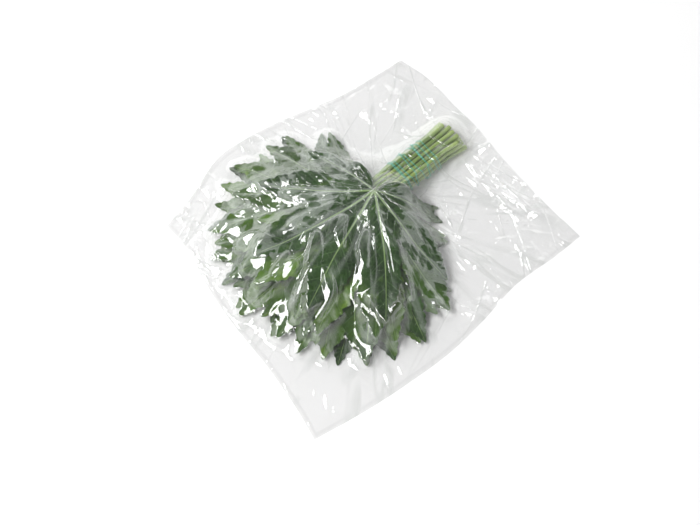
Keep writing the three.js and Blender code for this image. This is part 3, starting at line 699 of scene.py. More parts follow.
def make_blade(leaf, outline, height, part):
    """A thin blade over its underside. Its uvs are its shares along and aside of each lobe."""
    plan, triangles = blade_mesh(leaf, outline)
    under = read_field(whole(height, part), plan)
    count = len(plan)
    vertices = np.concatenate([to_frame(plan, under + FINE_THICKNESS), to_frame(plan, under)])
    rim = rim_edges(triangles, count)
    quads = np.column_stack([rim[:, 1], rim[:, 0], rim[:, 0] + count, rim[:, 1] + count])
    middle = plan[triangles].mean(1)
    lobe, _ = lobe_places(leaf, middle)
    top_uvs = lobe_shares(leaf, plan[triangles], lobe[:, None])
    _, rim_places = lobe_places(leaf, plan[rim].mean(1))
    rim_uvs = np.repeat(rim_places, 4, axis=0)
    uvs = np.concatenate([top_uvs.reshape(-1, 2), top_uvs[:, ::-1].reshape(-1, 2), rim_uvs])
    faces = [triangles, triangles[:, ::-1] + count, quads]
    piece = mesh_object(leaf["name"] + "_blade_fine", vertices, faces, uvs)
    piece.data.set_sharp_from_angle(angle=math.radians(SHARP_EDGE))
    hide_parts(leaf["name"] + "_blade")
    return piece


# Tubes
def tube_rings(line, radii, sides, swell):
    """Rings of points round a line, square to it. Swell is a share of the radius for each side."""
    ahead = unit(np.gradient(line, axis=0))
    aside = unit(np.cross(np.array([0, 0, 1.0]), ahead))
    over = np.cross(ahead, aside)
    turns = side_turns(sides)[None, :, None]
    ring = aside[:, None] * np.cos(turns) + over[:, None] * np.sin(turns)
    return line[:, None] + ring * (radii[:, None] * swell)[..., None]


def side_turns(sides):
    return np.linspace(0, 2 * math.pi, sides, endpoint=False)


def tube_piece(name, line, radii, sides, along, swell):
    """A tube with closed ends. Its uvs run along it, as given, and once round it."""
    points = tube_rings(line, radii, sides, swell).reshape(-1, 3)
    first = np.arange(len(line) - 1)[:, None] * sides
    near = np.arange(sides)[None]
    far = (near + 1) % sides
    quads = np.stack([first + near, first + far, first + sides + far, first + sides + near], -1)
    faces = [quads.reshape(-1, 4), near[:, ::-1], near + (len(line) - 1) * sides]
    u = along[:-1, None, None] + np.diff(along)[:, None, None] * np.array([0, 0, 1, 1])
    v = (np.arange(sides)[:, None] + np.array([0, 1, 1, 0])) / sides
    uvs = np.stack(np.broadcast_arrays(u, v), -1).reshape(-1, 2)
    caps = np.repeat(along[[0, -1]], sides)[:, None] * np.ones(2)
    vertices = to_frame(points[:, :2], points[:, 2])
    return mesh_object(name, vertices, faces, np.concatenate([uvs, caps]))


# Stalks. A stalk runs on below its blade as the middle rib: how far, how far down and how thin. Its
# cut end is dished: how far each ring lies from the end and how wide it is.
STALK_SIDES = 14
STALK_SLIM = 0.97
STALK_PATTERN = 100
STRAIGHT_STEP = 4
FINE_STEPS = 6
RISE_ROUNDS = 4
RIB_RUN = [(3, 0.3, 0.75), (7, 0.8, 0.5), (12, 1.4, 0.3)]
CUT_END = [(0.4, 0.6), (0, 0.9), (0.5, 1.02)]
FLUTES = [(5, 1, 0.035), (2, 2, 0.02)]


def stalk_share(x):
    """Share of the full stalk thickness at a distance along the stalk beyond the binding."""
    return lerp(1, STALK_TIP_SHARE, np.clip((BUNDLE_NEAR_X - x) / TAPER_RUN, 0, 1))


def solid_heights(node, stations):
    """The mean height of a stalk's own solid at each of its stations."""
    corners = np.unique(np.round(corners_of(node), 3), axis=0)
    nearest = ((corners[:, None, :2] - stations[None])**2).sum(-1).argmin(1)
    return np.array([corners[nearest == place, 2].mean() for place in range(len(stations))])


def stalk_line(leaf, middle):
    """The centre of a stalk from its cut end to its blade, with the solid's own heights."""
    place, ahead = leaf["place"], direction(leaf["heading"])
    splayed = middle + (place - middle) * STALK_SPLAY
    start = np.array([BUNDLE_NEAR_X - STRAIGHT_RUN, place[0]])
    end = leaf["base"] - NOTCH_BACK * ahead
    reach = np.linalg.norm(end - start)
    pull = BEND_PULL * reach
    curve = (start, start - np.array([pull, 0]), end - pull * ahead, end)
    steps = max(2, int(math.floor(reach / LOOSE_STEP + 0.5)))
    bound = [[leaf["end_x"], splayed[0]], [BUNDLE_FAR_X, place[0]], [BUNDLE_NEAR_X, place[0]]]
    stations = np.concatenate([bound, bezier_points(*curve, steps)])
    heights = solid_heights(leaf["name"] + "_stalk", stations)
    fine = bezier_points(*curve, steps * FINE_STEPS)
    rise = np.interp(np.linspace(0, 1, len(fine)), np.linspace(0, 1, steps + 1), heights[3:])
    for _ in range(RISE_ROUNDS):
        rise[1:-1] = (rise[:-2] + 2 * rise[1:-1] + rise[2:]) / 4
    knots = np.column_stack([stations, heights])[:4]
    straight = []
    for a, b in zip(knots, knots[1:]):
        count = max(2, round(np.linalg.norm(b - a) / STRAIGHT_STEP))
        straight.append(a + (b - a) * np.linspace(0, 1, count + 1)[:-1, None])
    return np.concatenate(straight + [np.column_stack([fine, rise])])


def make_stalk(leaf, line):
    """A slightly ribbed stalk with a clean cut end, thinning into the main rib of its blade."""
    radii = stalk_share(line[:, 0]) * STALK_DIAMETER / 2 * STALK_SLIM
    run, drop, thin = np.array(RIB_RUN).T
    rib = line[-1] + unit(line[-1] - line[-2]) * run[:, None] - np.array([0, 0, 1]) * drop[:, None]
    depth, width = np.array(CUT_END).T
    dish = line[0] + unit(line[1] - line[0]) * depth[:, None]
    line = np.concatenate([dish, line[1:], rib])
    radii = np.concatenate([radii[0] * width, radii[1:], radii[-1] * thin])
    turns = side_turns(STALK_SIDES)
    swell = 1 + sum(rise * np.cos(n * turns + k * leaf["turn"]) for n, k, rise in FLUTES)
    along = lengths_along(line) / STALK_PATTERN
    piece = tube_piece(leaf["name"] + "_stalk_fine", line, radii, STALK_SIDES, along, swell)
    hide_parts(leaf["name"] + "_stalk")
    return piece


def stalk_spans(line, margin):
    """For each short span of a stalk: the cells near it, how far they lie from its middle, how high
    that is there, and its radius."""
    for a, b in zip(line, line[1:]):
        radius = stalk_share(a[0]) * STALK_DIAMETER / 2
        part = window_of(np.array([a[:2], b[:2]]), max(margin, radius))
        run = b[:2] - a[:2]
        offset = CELLS[part] - a[:2]
        share = np.clip(offset @ run / (run @ run), 0, 1)
        aside = length_of(offset - share[..., None] * run)
        yield part, aside, lerp(a[2], b[2], share), radius


def cover_with_stalk(field, line):
    """Raises the field to the top of a stalk."""
    for part, aside, middle, radius in stalk_spans(line, STALK_DIAMETER):
        top = middle + np.sqrt(np.maximum(radius**2 - aside**2, 0))
        field[part] = np.where(aside <= radius, np.maximum(field[part], top), field[part])


def hang_below_stalk(ceiling, line):
    """Lowers the ceiling to the underside of a stalk's loose part."""
    for part, aside, middle, radius in stalk_spans(line[line[:, 0] <= BUNDLE_NEAR_X], 0):
        under = np.where(aside <= radius + CELL, middle - radius, NO_CEILING)
        ceiling[part] = np.minimum(ceiling[part], under)


# Thread
FINE_THREAD = 1.05
THREAD_SIDES = 8
THREAD_STEPS = 900
THREAD_TWIST = 4


def thread_corners(rows, layer):
    """The outline that a taut thread follows round the bundle, at one layer of thread."""
    centres = np.concatenate(rows)
    clear = STALK_DIAMETER / 2 + GAP + THREAD_DIAMETER / 2 + layer * THREAD_LAYER
    turns = side_turns(THREAD_CORNERS)
    normals = np.stack([np.cos(turns), np.sin(turns)], 1)
    reach = (centres @ normals.T).max(0) + clear
    pairs = np.stack([normals, np.roll(normals, -1, axis=0)], 1)
    return np.linalg.solve(pairs, np.stack([reach, np.roll(reach, -1)], 1)[..., None])[..., 0]


def make_thread(rows):
    """The thread along its route: how far along the bundle and how deep it lies at each turn."""
    layers = thread_corners(rows, 0), thread_corners(rows, 1)
    turns, places, depths = np.array(THREAD_ROUTE, float).T
    step = np.arange(int(turns[-1] * THREAD_CORNERS) + 1)
    x = np.interp(step / THREAD_CORNERS, turns, places)
    depth = np.interp(step / THREAD_CORNERS, turns, depths)[:, None]
    corner = step % THREAD_CORNERS
    across = lerp(layers[0][corner], layers[1][corner], depth)
    lift = np.maximum(0, BUNDLE_FOOT_X - x) * BUNDLE_SLOPE
    line = spline_points(np.column_stack([x, across[:, 0], across[:, 1] + lift]), THREAD_STEPS)
    radii = np.full(len(line), FINE_THREAD / 2)
    along = np.arange(len(line)) / THREAD_TWIST
    piece = tube_piece("binding_thread_fine", line, radii, THREAD_SIDES, along, 1)
    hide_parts("binding_thread")
    return piece


# Bag
FILM_CELLS = (328, 288)
UNDER_CELLS = (58, 50)
FILM_ROUNDS = 900
LAST_ROUNDS = 2
FILM_SAG = 0.03
FILM_CLEAR = 0.25
SEAM_CELLS = 3
LOOSE_CELLS = 12
SEAM_HEIGHT = 0.5
LIP_ROWS = 40
SEAM_LINE = 4
SEAM_LINE_HALF = 1.2
UNDER_HEIGHT = 0.25
UNDER_WAVE = 0.1
UNDER_NOISE = (20, 3)

# Pleats of the film in families: where they start and how far that scatters, then ranges of their
# headings in degrees, of how far out they begin, and of their lengths and widths, and their number
PLEAT_SEED = 23
PLEAT_SLOPE = (0.24, 0.44)
PLEAT_CURL = (-0.12, 0.12)
PLEAT_SWELL = 0.8
PLEAT_LEANS = [0.25, 0.5, 1, 2, 4]
PLEAT_FAMILIES = [
    ((4, 0), (8, 12), (190, 262), (24, 90), (60, 160), (3.0, 7.0), 12),
    ((4, 0), (8, 12), (138, 192), (30, 130), (50, 120), (2.5, 6.0), 13),
    ((30, -30), (24, 8), (252, 292), (10, 60), (60, 130), (3.0, 6.0), 12),
    ((140, -24), (26, 18), (262, 286), (0, 40), (70, 170), (3.5, 8.0), 10),
    ((172, -222), (8, 8), (118, 176), (10, 50), (50, 140), (3.0, 6.5), 11),
    ((158, 130), (10, 8), (182, 262), (10, 40), (40, 110), (3.0, 6.0), 9),
    ((-96, -14), (6, 6), (196, 300), (186, 216), (30, 70), (2.5, 5.0), 24),
    ((-96, -14), (40, 40), (0, 360), (60, 150), (16, 44), (2.5, 6.0), 46),
]
CREASE_COUNT = 160
CREASE_REACH = (12, 40)
CREASE_SLOPE = (0.03, 0.12)

# Folds of the film: long ones where it is pulled over the blades, flat facets beside them, and
# shallow ones where it is empty. Each has its half width and its path, in the view's own plan: right
# of and ahead of its centre. Their upper sides fall by FOLD_FALL to the left and towards the camera,
# so the light overhead glints from them.
FOLD_FALL = (0.27, 0.19)
FOLD_STEEP = 0.9
FOLD_STEPS = 60
FOLD_REACH = 4
FOLD_SWELL = 0.6
LONG_FOLDS = [
    (6.5, [(-46, 30), (-49, 1), (-56, -27), (-69, -49), (-77, -70)]),
    (6.0, [(-39, -21), (-32, -40), (-31, -61), (-41, -82), (-53, -102)]),
    (5.0, [(23, 31), (17, 7), (17, -19), (9, -43), (6, -61)]),
    (3.5, [(-8, 53), (-15, 28), (-13, -11)]),
    (6.0, [(-85, 2), (-101, -25), (-115, -49), (-133, -67)]),
    (3.5, [(63, -14), (76, -38), (84, -64)]),
]
FLAT_FACETS = [
    (9.0, [(-160, 13), (-141, 21), (-118, 26)]),
    (13.0, [(-150, -27), (-131, -14), (-104, -5)]),
    (8.0, [(-101, -44), (-86, -24), (-72, -12)]),
    (4.0, [(-167, 63), (-151, 66), (-135, 65)]),
    (3.0, [(-104, 88), (-87, 90), (-70, 92)]),
    (5.0, [(-171, -46), (-159, -49), (-146, -61)]),
    (4.0, [(50, -100), (58, -83), (73, -72)]),
]
SHALLOW_FOLDS = [
    (3.0, [(165, 150), (199, 107), (232, 68), (253, 55)]),
    (1.8, [(182, 150), (226, 104), (265, 68)]),
    (2.5, [(133, 27), (150, 1), (175, -23)]),
    (3.5, [(170, 163), (190, 147), (206, 135)]),
    (4.0, [(140, 117), (151, 108), (162, 99)]),
    (3.0, [(225, 37), (231, 26), (237, 15)]),
    (2.0, [(190, 4), (195, -3), (200, -12)]),
    (3.0, [(71, 205), (77, 196), (83, 186)]),
]

# How high each kind rises over the film round it, and its share of the film's own rise on its path
FOLD_KINDS = [(LONG_FOLDS, 4.2, 0.45), (FLAT_FACETS, 4.2, 0), (SHALLOW_FOLDS, 1.7, 1)]

# Facets of the film between straight creases: the size of a facet, how many times longer it is along
# a line from the neck, its slope and its seed. They come and go in patches.
FACETS = [(12, 5.0, 0.24, 31), (26, 1.0, 0.12, 32)]
FACET_RADIUS = 90
FACET_LATTICE = 80
FACET_SHIFTS = (0.1, 0.9)
FACET_TOP = 0.4
PATCH_SIZE = 46
PATCH_SEED = 50
PATCH_RANGE = (-0.5, 0.6)
STREAK_STRETCH = 10

# Air under the film over the furrow of a middle rib and of a side vein, as depth and half width
RIB_AIR = (2.2, 3.4)
VEIN_AIR = (0.9, 2.0)

# Where the film is clear and calm: a sector below the neck, as turns from +X in degrees and reaches.
# The film's haze is partly painted sheen, standing for bright surroundings mirrored in it. In this
# sector, where the film mirrors dark surroundings, the haze keeps only a small share.
LOW_SHEEN_HEADING = 211
LOW_SHEEN_HALF = (31, 46)
LOW_SHEEN_RAGGED = 9
RAGGED_NOISE = (34, 5)
LOW_SHEEN_FROM = (50, 90)
LOW_SHEEN_SHARE = 0.06
LOW_SHEEN_TIP = np.array([-116, 172])
LOW_SHEEN_TIP_REACH = (22, 36)
SECTOR_CALM = 0.75
COVERED_SLACK = 0.4
OUTER_SHARE = 0.12
COVERED_HEIGHT = (0.9, 2.2)


def pleat_height(plan):
    """Pleats of the film along curved lines that start from where it is gathered or held."""
    draw = np.random.default_rng(PLEAT_SEED)
    total = np.zeros(plan.shape[:2])
    for start, spread, headings, skips, lengths, widths, count in PLEAT_FAMILIES:
        for _ in range(count):
            heading = draw.uniform(*headings)
            first = np.array(start) + draw.uniform(-1, 1, 2) * spread
            first = first + direction(heading) * draw.uniform(*skips)
            length = draw.uniform(*lengths)
            width = draw.uniform(*widths)
            slope = draw.uniform(*PLEAT_SLOPE)
            curl = draw.uniform(*PLEAT_CURL)
            lean = draw.choice(PLEAT_LEANS)
            pleat = one_pleat(plan, first, heading, length, width, slope, curl, lean)
            total = np.maximum(total, pleat)
    return total


def one_pleat(plan, start, heading, length, width, slope, curl, lean):
    """A ridge with pointed ends: a steady climb on one side, and one of another width beyond."""
    axis = direction(heading)
    offset = plan - start
    along = np.clip(offset @ axis / length, 0, 1)
    aside = offset @ np.array([-axis[1], axis[0]]) - curl * length * along**2
    swell = np.sin(math.pi * along**PLEAT_SWELL)
    wide = np.maximum(width * swell, 1e-6)
    rise = 1 - np.where(aside < 0, -aside / wide, aside / (wide * lean))
    return slope * wide * np.clip(rise, 0, 1)


def crease_height(plan):
    """Small flat facets between straight creases, as thin film has when it is handled."""
    draw = np.random.default_rng(PLEAT_SEED + 1)
    low, high = plan.min((0, 1)), plan.max((0, 1))
    total = np.zeros(plan.shape[:2])
    for _ in range(CREASE_COUNT):
        centre = draw.uniform(low, high)
        across = direction(draw.uniform(0, 180))
        reach = draw.uniform(*CREASE_REACH)
        slope = draw.uniform(*CREASE_SLOPE)
        offset = plan - centre
        rise = reach / 2 - np.abs(offset @ across)
        total += slope * bell(length_of(offset), reach) * rise
    return total


def facet_height(plan, size, stretch, slope, seed):
    """Roof-shaped facets with steady slopes and sharp valleys. Long ones run out from the neck."""
    n = FACET_LATTICE
    if stretch > 1:
        turn = np.arctan2(plan[..., 1], -plan[..., 0])
        u, v = turn * FACET_RADIUS / size, length_of(plan) / (size * stretch)
    else:
        u, v = plan[..., 0] / size, plan[..., 1] / size
    u, v = u + n / 2, v + n / 2
    shifts = np.random.default_rng(seed).uniform(*FACET_SHIFTS, (n, n, 2))
    i, j = np.floor(u).astype(int), np.floor(v).astype(int)
    nearest = np.full(u.shape, 9.0)
    second = nearest
    for down in (-1, 0, 1):
        for across in (-1, 0, 1):
            shift = shifts[(i + down) % n, (j + across) % n]
            gap = np.hypot(i + down + shift[..., 0] - u, j + across + shift[..., 1] - v)
            second = np.minimum(second, np.maximum(nearest, gap))
            nearest = np.minimum(nearest, gap)
    strength = smoothstep(*PATCH_RANGE, smooth_noise(plan, PATCH_SIZE, seed + PATCH_SEED))
    return slope * size * strength * np.minimum((second - nearest) / 2, FACET_TOP)


def add_fold(height, plan, half, path, lift, follows):
    """Raises the film to one fold, whose upper side has the slope that glints."""
    across, deep = direction(VIEW_AZIMUTH), direction(VIEW_AZIMUTH + 90)
    fall = -FOLD_FALL[0] * across - FOLD_FALL[1] * deep
    line = spline_points([VIEW_CENTRE + across * x + deep * y for x, y in path], FOLD_STEPS)
    gaps = [((plan - point)**2).sum(-1) for point in line]
    nearest = np.argmin(gaps, axis=0)
    below = np.array([height.flat[gap.argmin()] for gap in gaps])
    share = np.linspace(0, 1, len(line))
    crest = below.mean() - (line - line.mean(0)) @ fall
    crest = lerp(crest, np.polyval(np.polyfit(share, below, 2), share), follows)
    ahead = unit(np.gradient(line, axis=0))
    aside = np.stack([-ahead[:, 1], ahead[:, 0]], 1)
    swell = np.sin(math.pi * share)**FOLD_SWELL
    crest = crest + lift * swell
    offset = ((plan - line[nearest]) * aside[nearest]).sum(-1)
    beyond = np.maximum(np.abs(offset) - half * swell[nearest], 0)
    fold = crest[nearest] - offset * (aside @ fall)[nearest] - FOLD_STEEP * beyond
    inner = (nearest > 0) & (nearest < len(line) - 1) & (beyond < FOLD_REACH)
    return np.where(inner, np.maximum(height, fold), height)


def side_sum(height):
    """The sum of the heights on the four sides of each point."""
    return sum(shifted(height, *step) for step in ((1, 0), (-1, 0), (0, 1), (0, -1)))


def relaxed(height, floor, held, rounds, sag):
    """The film pulled taut over what holds it up."""
    for _ in range(rounds):
        height = np.where(held, SEAM_HEIGHT, np.maximum(side_sum(height) / 4 - sag, floor))
    return height


def seam_distance(shape):
    """Cells from the nearest of the three seams. Row 0 is the open mouth."""
    rows, columns = np.indices(shape[:2])
    return np.minimum(np.minimum(columns, shape[1] - 1 - columns), shape[0] - 1 - rows)


def lay_film(plan, field):
    """The upper film: drawn taut over the bunch, held at three seams, pleated and creased."""
    from_seam = seam_distance(plan.shape)
    held = from_seam < SEAM_CELLS
    floor = read_field(widened(field), plan) + FILM_CLEAR
    gape = np.sin(math.pi * np.linspace(0, 1, plan.shape[1]))
    lip = np.clip(1 - np.arange(plan.shape[0]) / LIP_ROWS, 0, 1)**2
    floor = np.maximum(floor, FILM + MOUTH_GAPE * lip[:, None] * gape)
    height = relaxed(read_field(filled(top_of("bag")), plan), floor, held, FILM_ROUNDS, FILM_SAG)
    loose = smoothstep(SEAM_CELLS - 1, LOOSE_CELLS, from_seam)
    small = crease_height(plan) + sum(facet_height(plan, *facet) for facet in FACETS)
    folds = pleat_height(plan) + small * (1 - SECTOR_CALM * low_sheen_sector(plan))
    height = height + loose * folds
    for folds, lift, follows in FOLD_KINDS:
        for half, path in folds:
            height = add_fold(height, plan, half, path, lift, follows)
    height = relaxed(height, floor, held, LAST_ROUNDS, 0)
    return np.minimum(height, BAG_TOP)


def low_sheen_sector(plan):
    """1 in the sector below the neck and at one tip, where the film is clear and calm: there its haze
    keeps little of its painted sheen.
    """
    turn = np.degrees(np.arctan2(plan[..., 1], plan[..., 0])) % 360
    turn += LOW_SHEEN_RAGGED * smooth_noise(plan, *RAGGED_NOISE)
    inside = 1 - smoothstep(*LOW_SHEEN_HALF, np.abs(turn - LOW_SHEEN_HEADING))
    at_tip = 1 - smoothstep(*LOW_SHEEN_TIP_REACH, length_of(plan - LOW_SHEEN_TIP))
    return np.maximum(inside * smoothstep(*LOW_SHEEN_FROM, length_of(plan)), at_tip)


def covered_share(plan, field):
    """1 where leaves lie under the film, 0 where it is empty or lies over the bound stalks."""
    return smoothstep(*COVERED_HEIGHT, read_field(field, plan)) * (plan[..., 0] < BUNDLE_NEAR_X)


def air_over_veins(plan, owner, leaves):
    """Extra air where the film bridges the veins of whichever leaf lies on top."""
    column = np.clip((plan[..., 0] - FIELD_LOW[0]) / CELL, 0, COLUMNS - 1).astype(int)
    row = np.clip((plan[..., 1] - FIELD_LOW[1]) / CELL, 0, ROWS - 1).astype(int)
    top = owner[row, column]
    air = np.zeros(top.shape)
    for index, leaf in enumerate(leaves):
        here = top == index
        _, shares = lobe_places(leaf, plan[here])
        half, from_vein = vein_places(shares)
        rib = RIB_AIR[0] * bell(half * leaf["length"], RIB_AIR[1])
        vein = VEIN_AIR[0] * bell(from_vein * leaf["length"], VEIN_AIR[1])
        air[here] = np.maximum(rib, vein)
    return air


def streak_places(plan):
    """Places for patterns that run out from the neck: round a ring, then slowly outwards."""
    reach = length_of(plan)
    ring = plan / np.maximum(reach, 1)[:, None] * FACET_RADIUS
    return np.column_stack([ring, reach / STREAK_STRETCH]) * MM


def grid_quads(shape, first):
    ids = first + np.arange(shape[0] * shape[1]).reshape(shape[:2])
    quads = np.stack([ids[:-1, :-1], ids[1:, :-1], ids[1:, 1:], ids[:-1, 1:]], -1)
    return quads.reshape(-1, 4)


def film_values(plan, height, field, owner, leaves):
    """What the film's material reads at each point of the upper film."""
    # clear is 1 in the sector where the film's haze keeps little of its painted sheen
    clear, covered = low_sheen_sector(plan), covered_share(plan, field)
    seam = np.abs(seam_distance(plan.shape) - SEAM_LINE) < SEAM_LINE_HALF
    seam[:2] = True
    return {
        "air_gap": height - read_field(field, plan) + air_over_veins(plan, owner, leaves),
        # How much haze the film may show, partly real haze over air and partly painted sheen: full
        # over leaves, little in the clear sector, a small share over empty film
        "haze_and_sheen": lerp(OUTER_SHARE, lerp(1, LOW_SHEEN_SHARE, clear), covered),
        "bend": np.abs(4 * height - side_sum(height)),
        "slack": lerp(1, COVERED_SLACK, covered) * (1 - SECTOR_CALM * clear),
        "seam": seam,
    }


def make_bag(field, owner, leaves):
    """The film over the bunch and the film below it, which lies almost flat."""
    plan = bag_grid(*FILM_CELLS)
    height = lay_film(plan, field)
    under_plan = bag_grid(*UNDER_CELLS)
    under = UNDER_HEIGHT + UNDER_WAVE * smooth_noise(under_plan, *UNDER_NOISE)
    top = to_frame(plan.reshape(-1, 2), height.ravel())
    bottom = to_frame(under_plan.reshape(-1, 2), under.ravel())
    quads = [grid_quads(plan.shape, 0), grid_quads(under_plan.shape, len(top))[:, ::-1]]
    bag = mesh_object("bag_film", np.concatenate([top, bottom]), quads)
    values = film_values(plan, height, field, owner, leaves)
    values["streak_place"] = streak_places(plan.reshape(-1, 2))
    for name, value in values.items():
        row = np.zeros((len(top) + len(bottom), value.size // len(top)), np.float32)
        row[:len(top)] = value.reshape(len(top), -1)
        kind, key = ("FLOAT", "value") if row.shape[1] == 1 else ("FLOAT_VECTOR", "vector")
        bag.data.attributes.new(name, kind, "POINT").data.foreach_set(key, row.ravel())
    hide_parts("bag")
    return bag


# Materials
class Nodes:
    """Short calls that add shader nodes to one material or world and join them."""

    def __init__(self, owner, output="ShaderNodeOutputMaterial"):
        owner.use_nodes = True
        self.owner = owner
        self.tree = owner.node_tree
        self.tree.nodes.clear()
        self.output = self.add(output)

    def put(self, socket, value):
        if isinstance(value, bpy.types.NodeSocket):
            self.tree.links.new(value, socket)
        else:
            socket.default_value = value

    def add(self, kind, settings=None, **inputs):
        node = self.tree.nodes.new(kind)
        for key, value in (settings or {}).items():
            setattr(node, key, value)
        for key, value in inputs.items():
            self.put(node.inputs[key.replace("_", " ")], value)
        return node

    def fill(self, kind, values, **settings):
        """The first output of a new node, whose first inputs take the values in their order."""
        node = self.add(kind, settings)
        for socket, value in zip(node.inputs, values):
            self.put(socket, value)
        return node.outputs[0]

    def math(self, operation, *values):
        return self.fill("ShaderNodeMath", values, operation=operation)

    def times(self, product, *factors):
        for factor in factors:
            product = self.math("MULTIPLY", product, factor)
        return product

    def plus(self, total, *terms):
        """A total with more values added, each times its own share."""
        for value, share in terms:
            total = self.math("MULTIPLY_ADD", value, share, total)
        return total

    def step(self, *values):
        """A smooth step: the value, where it starts and ends, and from what to what it goes."""
        return self.fill("ShaderNodeMapRange", values, interpolation_type="SMOOTHSTEP")

    def layers(self, colour, *coats):
        """A colour with others laid over it, each by its own share."""
        for share, coat in coats:
            node = self.add("ShaderNodeMix", {"data_type": "RGBA"})
            for place, value in ((0, share), (6, colour), (7, coat)):
                self.put(node.inputs[place], (*value, 1) if isinstance(value, tuple) else value)
            colour = node.outputs[2]
        return colour

    def noise(self, place, scale, detail=3.0, roughness=0.55):
        kind = "ShaderNodeTexNoise"
        return self.add(kind, Vector=place, Scale=scale, Detail=detail, Roughness=roughness).outputs[0]

    def spots(self, place, scale, detail, *step):
        """Noise of a scale and detail that shows where a smooth step lets it."""
        return self.step(self.noise(place, scale, detail), *step)

    def cells(self, place, scale, **settings):
        return self.add("ShaderNodeTexVoronoi", settings, Vector=place, Scale=scale).outputs[0]

    def mapped(self, place, **inputs):
        return self.add("ShaderNodeMapping", Vector=place, **inputs).outputs[0]

    def split(self, place):
        return self.add("ShaderNodeSeparateXYZ", Vector=place).outputs

    def place(self):
        return self.add("ShaderNodeTexCoord").outputs["Object"]

    def uv(self):
        return self.add("ShaderNodeUVMap", {"uv_map": "plan"}).outputs[0]

    def value(self, name, output="Fac"):
        return self.add("ShaderNodeAttribute", {"attribute_name": name}).outputs[output]

    def bump(self, height, distance):
        return self.add("ShaderNodeBump", Strength=1.0, Distance=distance, Height=height).outputs[0]

    def blend(self, share, a, b):
        return self.fill("ShaderNodeMixShader", (share, a, b))

    def finish(self, surface):
        self.tree.links.new(surface, self.output.inputs["Surface"])
        return self.owner


# The greens of a blade, each for an old dark leaf and for a young yellow-green one
FRESH_GREEN = np.array([0.100, 0.205, 0.013])
LEAF_GREENS = [
    (np.array([0.004, 0.020, 0.003]), FRESH_GREEN * 0.7),
    (np.array([0.014, 0.052, 0.006]), FRESH_GREEN),
    (FRESH_GREEN * 0.7, np.array([0.260, 0.420, 0.035])),
]
RIB_GREEN = (0.200, 0.310, 0.100)
VEIN_GREEN = (0.070, 0.150, 0.040)
SPECK_GREEN = (0.55, 0.62, 0.45)

# Veins, in shares of a lobe's length. A step is where a value starts and ends to change, and from what
# to what the result goes.
RIB_HALF = 0.0014
RIB_TAPER = 0.0085
RIB_STEP = (0.55, 1.1, 1.0, 0.0)
VEIN_STEP = (0.0012, 0.0045, 1.0, 0.0)
NEAR_RIB_STEP = (0.02, 0.16, 1.0, 0.25)

# Patterns of a blade: cells as a scale and a step, noise as a scale, a detail and a step. Scales are
# in shapes to the metre.
NET_SCALE = 150.0
NET_STEP = (0.02, 0.09, 1.0, 0.0)
NET_SHARE = 0.22
SPECK_SCALE = 330.0
SPECK_STEP = (0.12, 0.22, 0.55, 0.0)
SPECKLED = (140.0, 1.0, 0.58, 0.66, 0.0, 1.0)
MID_GREEN_PARTS = (26.0, 3.0, 0.36, 0.66, 0.0, 1.0)
LIGHT_GREEN_PARTS = (58.0, 4.0, 0.56, 0.76, 0.0, 0.55)
SIDE_VEIN_SHARE = 0.75
LEAF_GRAIN = (300.0, 2.0)
LEAF_ROUGHNESS = (90.0, 2.0, 0.3, 0.7, 0.26, 0.42)

# Heights of a blade's ribs, side veins, net and grain, as shares of the depth of its bump in metres
LEAF_RELIEF = (0.8, -0.7, -0.25, 0.35)
LEAF_BUMP = 0.0004


def veins(n, share, aside):
    """Where the middle rib and the side veins of a lobe show."""
    half = n.math("ABSOLUTE", aside)
    rib_half = n.plus(RIB_HALF, (n.math("SUBTRACT", 1.0, share), RIB_TAPER))
    rib = n.step(n.math("DIVIDE", half, rib_half), *RIB_STEP)
    run = n.plus(share, (half, -LATERAL_LEAN), (n.times(half, half), -LATERAL_CURVE))
    cycle = n.plus(n.math("DIVIDE", run, LATERAL_STEP), (n.math("GREATER_THAN", aside, 0.0), 0.5))
    from_vein = n.times(n.math("PINGPONG", cycle, 0.5), LATERAL_STEP)
    return rib, n.times(n.step(from_vein, *VEIN_STEP), n.step(half, *NEAR_RIB_STEP))


def leaf_material(name, fresh):
    """Glossy leaf green. Fresh runs from 0 for an old dark leaf to 1 for a young yellow-green one."""
    n = Nodes(bpy.data.materials.new(name))
    place = n.place()
    share, aside, _ = n.split(n.uv())
    rib, lateral = veins(n, share, aside)
    net = n.step(n.cells(place, NET_SCALE, feature="DISTANCE_TO_EDGE"), *NET_STEP)
    specks = n.step(n.cells(place, SPECK_SCALE), *SPECK_STEP)
    dark, mid, light = (tuple(lerp(old, young, fresh)) for old, young in LEAF_GREENS)
    colour = n.layers(
        dark,
        (n.spots(place, *MID_GREEN_PARTS), mid),
        (n.spots(place, *LIGHT_GREEN_PARTS), light),
        (n.times(net, NET_SHARE), VEIN_GREEN),
        (n.times(lateral, SIDE_VEIN_SHARE), VEIN_GREEN),
        (rib, RIB_GREEN),
        (n.times(specks, n.spots(place, *SPECKLED)), SPECK_GREEN),
    )
    heights = (rib, lateral, net, n.noise(place, *LEAF_GRAIN))
    relief = n.plus(0.0, *zip(heights, LEAF_RELIEF))
    shader = n.add("ShaderNodeBsdfPrincipled", Base_Color=colour,
                   Roughness=n.spots(place, *LEAF_ROUGHNESS), Normal=n.bump(relief, LEAF_BUMP))
    shader.inputs["IOR"].default_value = 1.38
    shader.inputs["Coat Weight"].default_value = 0.1
    shader.inputs["Coat Roughness"].default_value = 0.12
    return n.finish(shader.outputs[0])


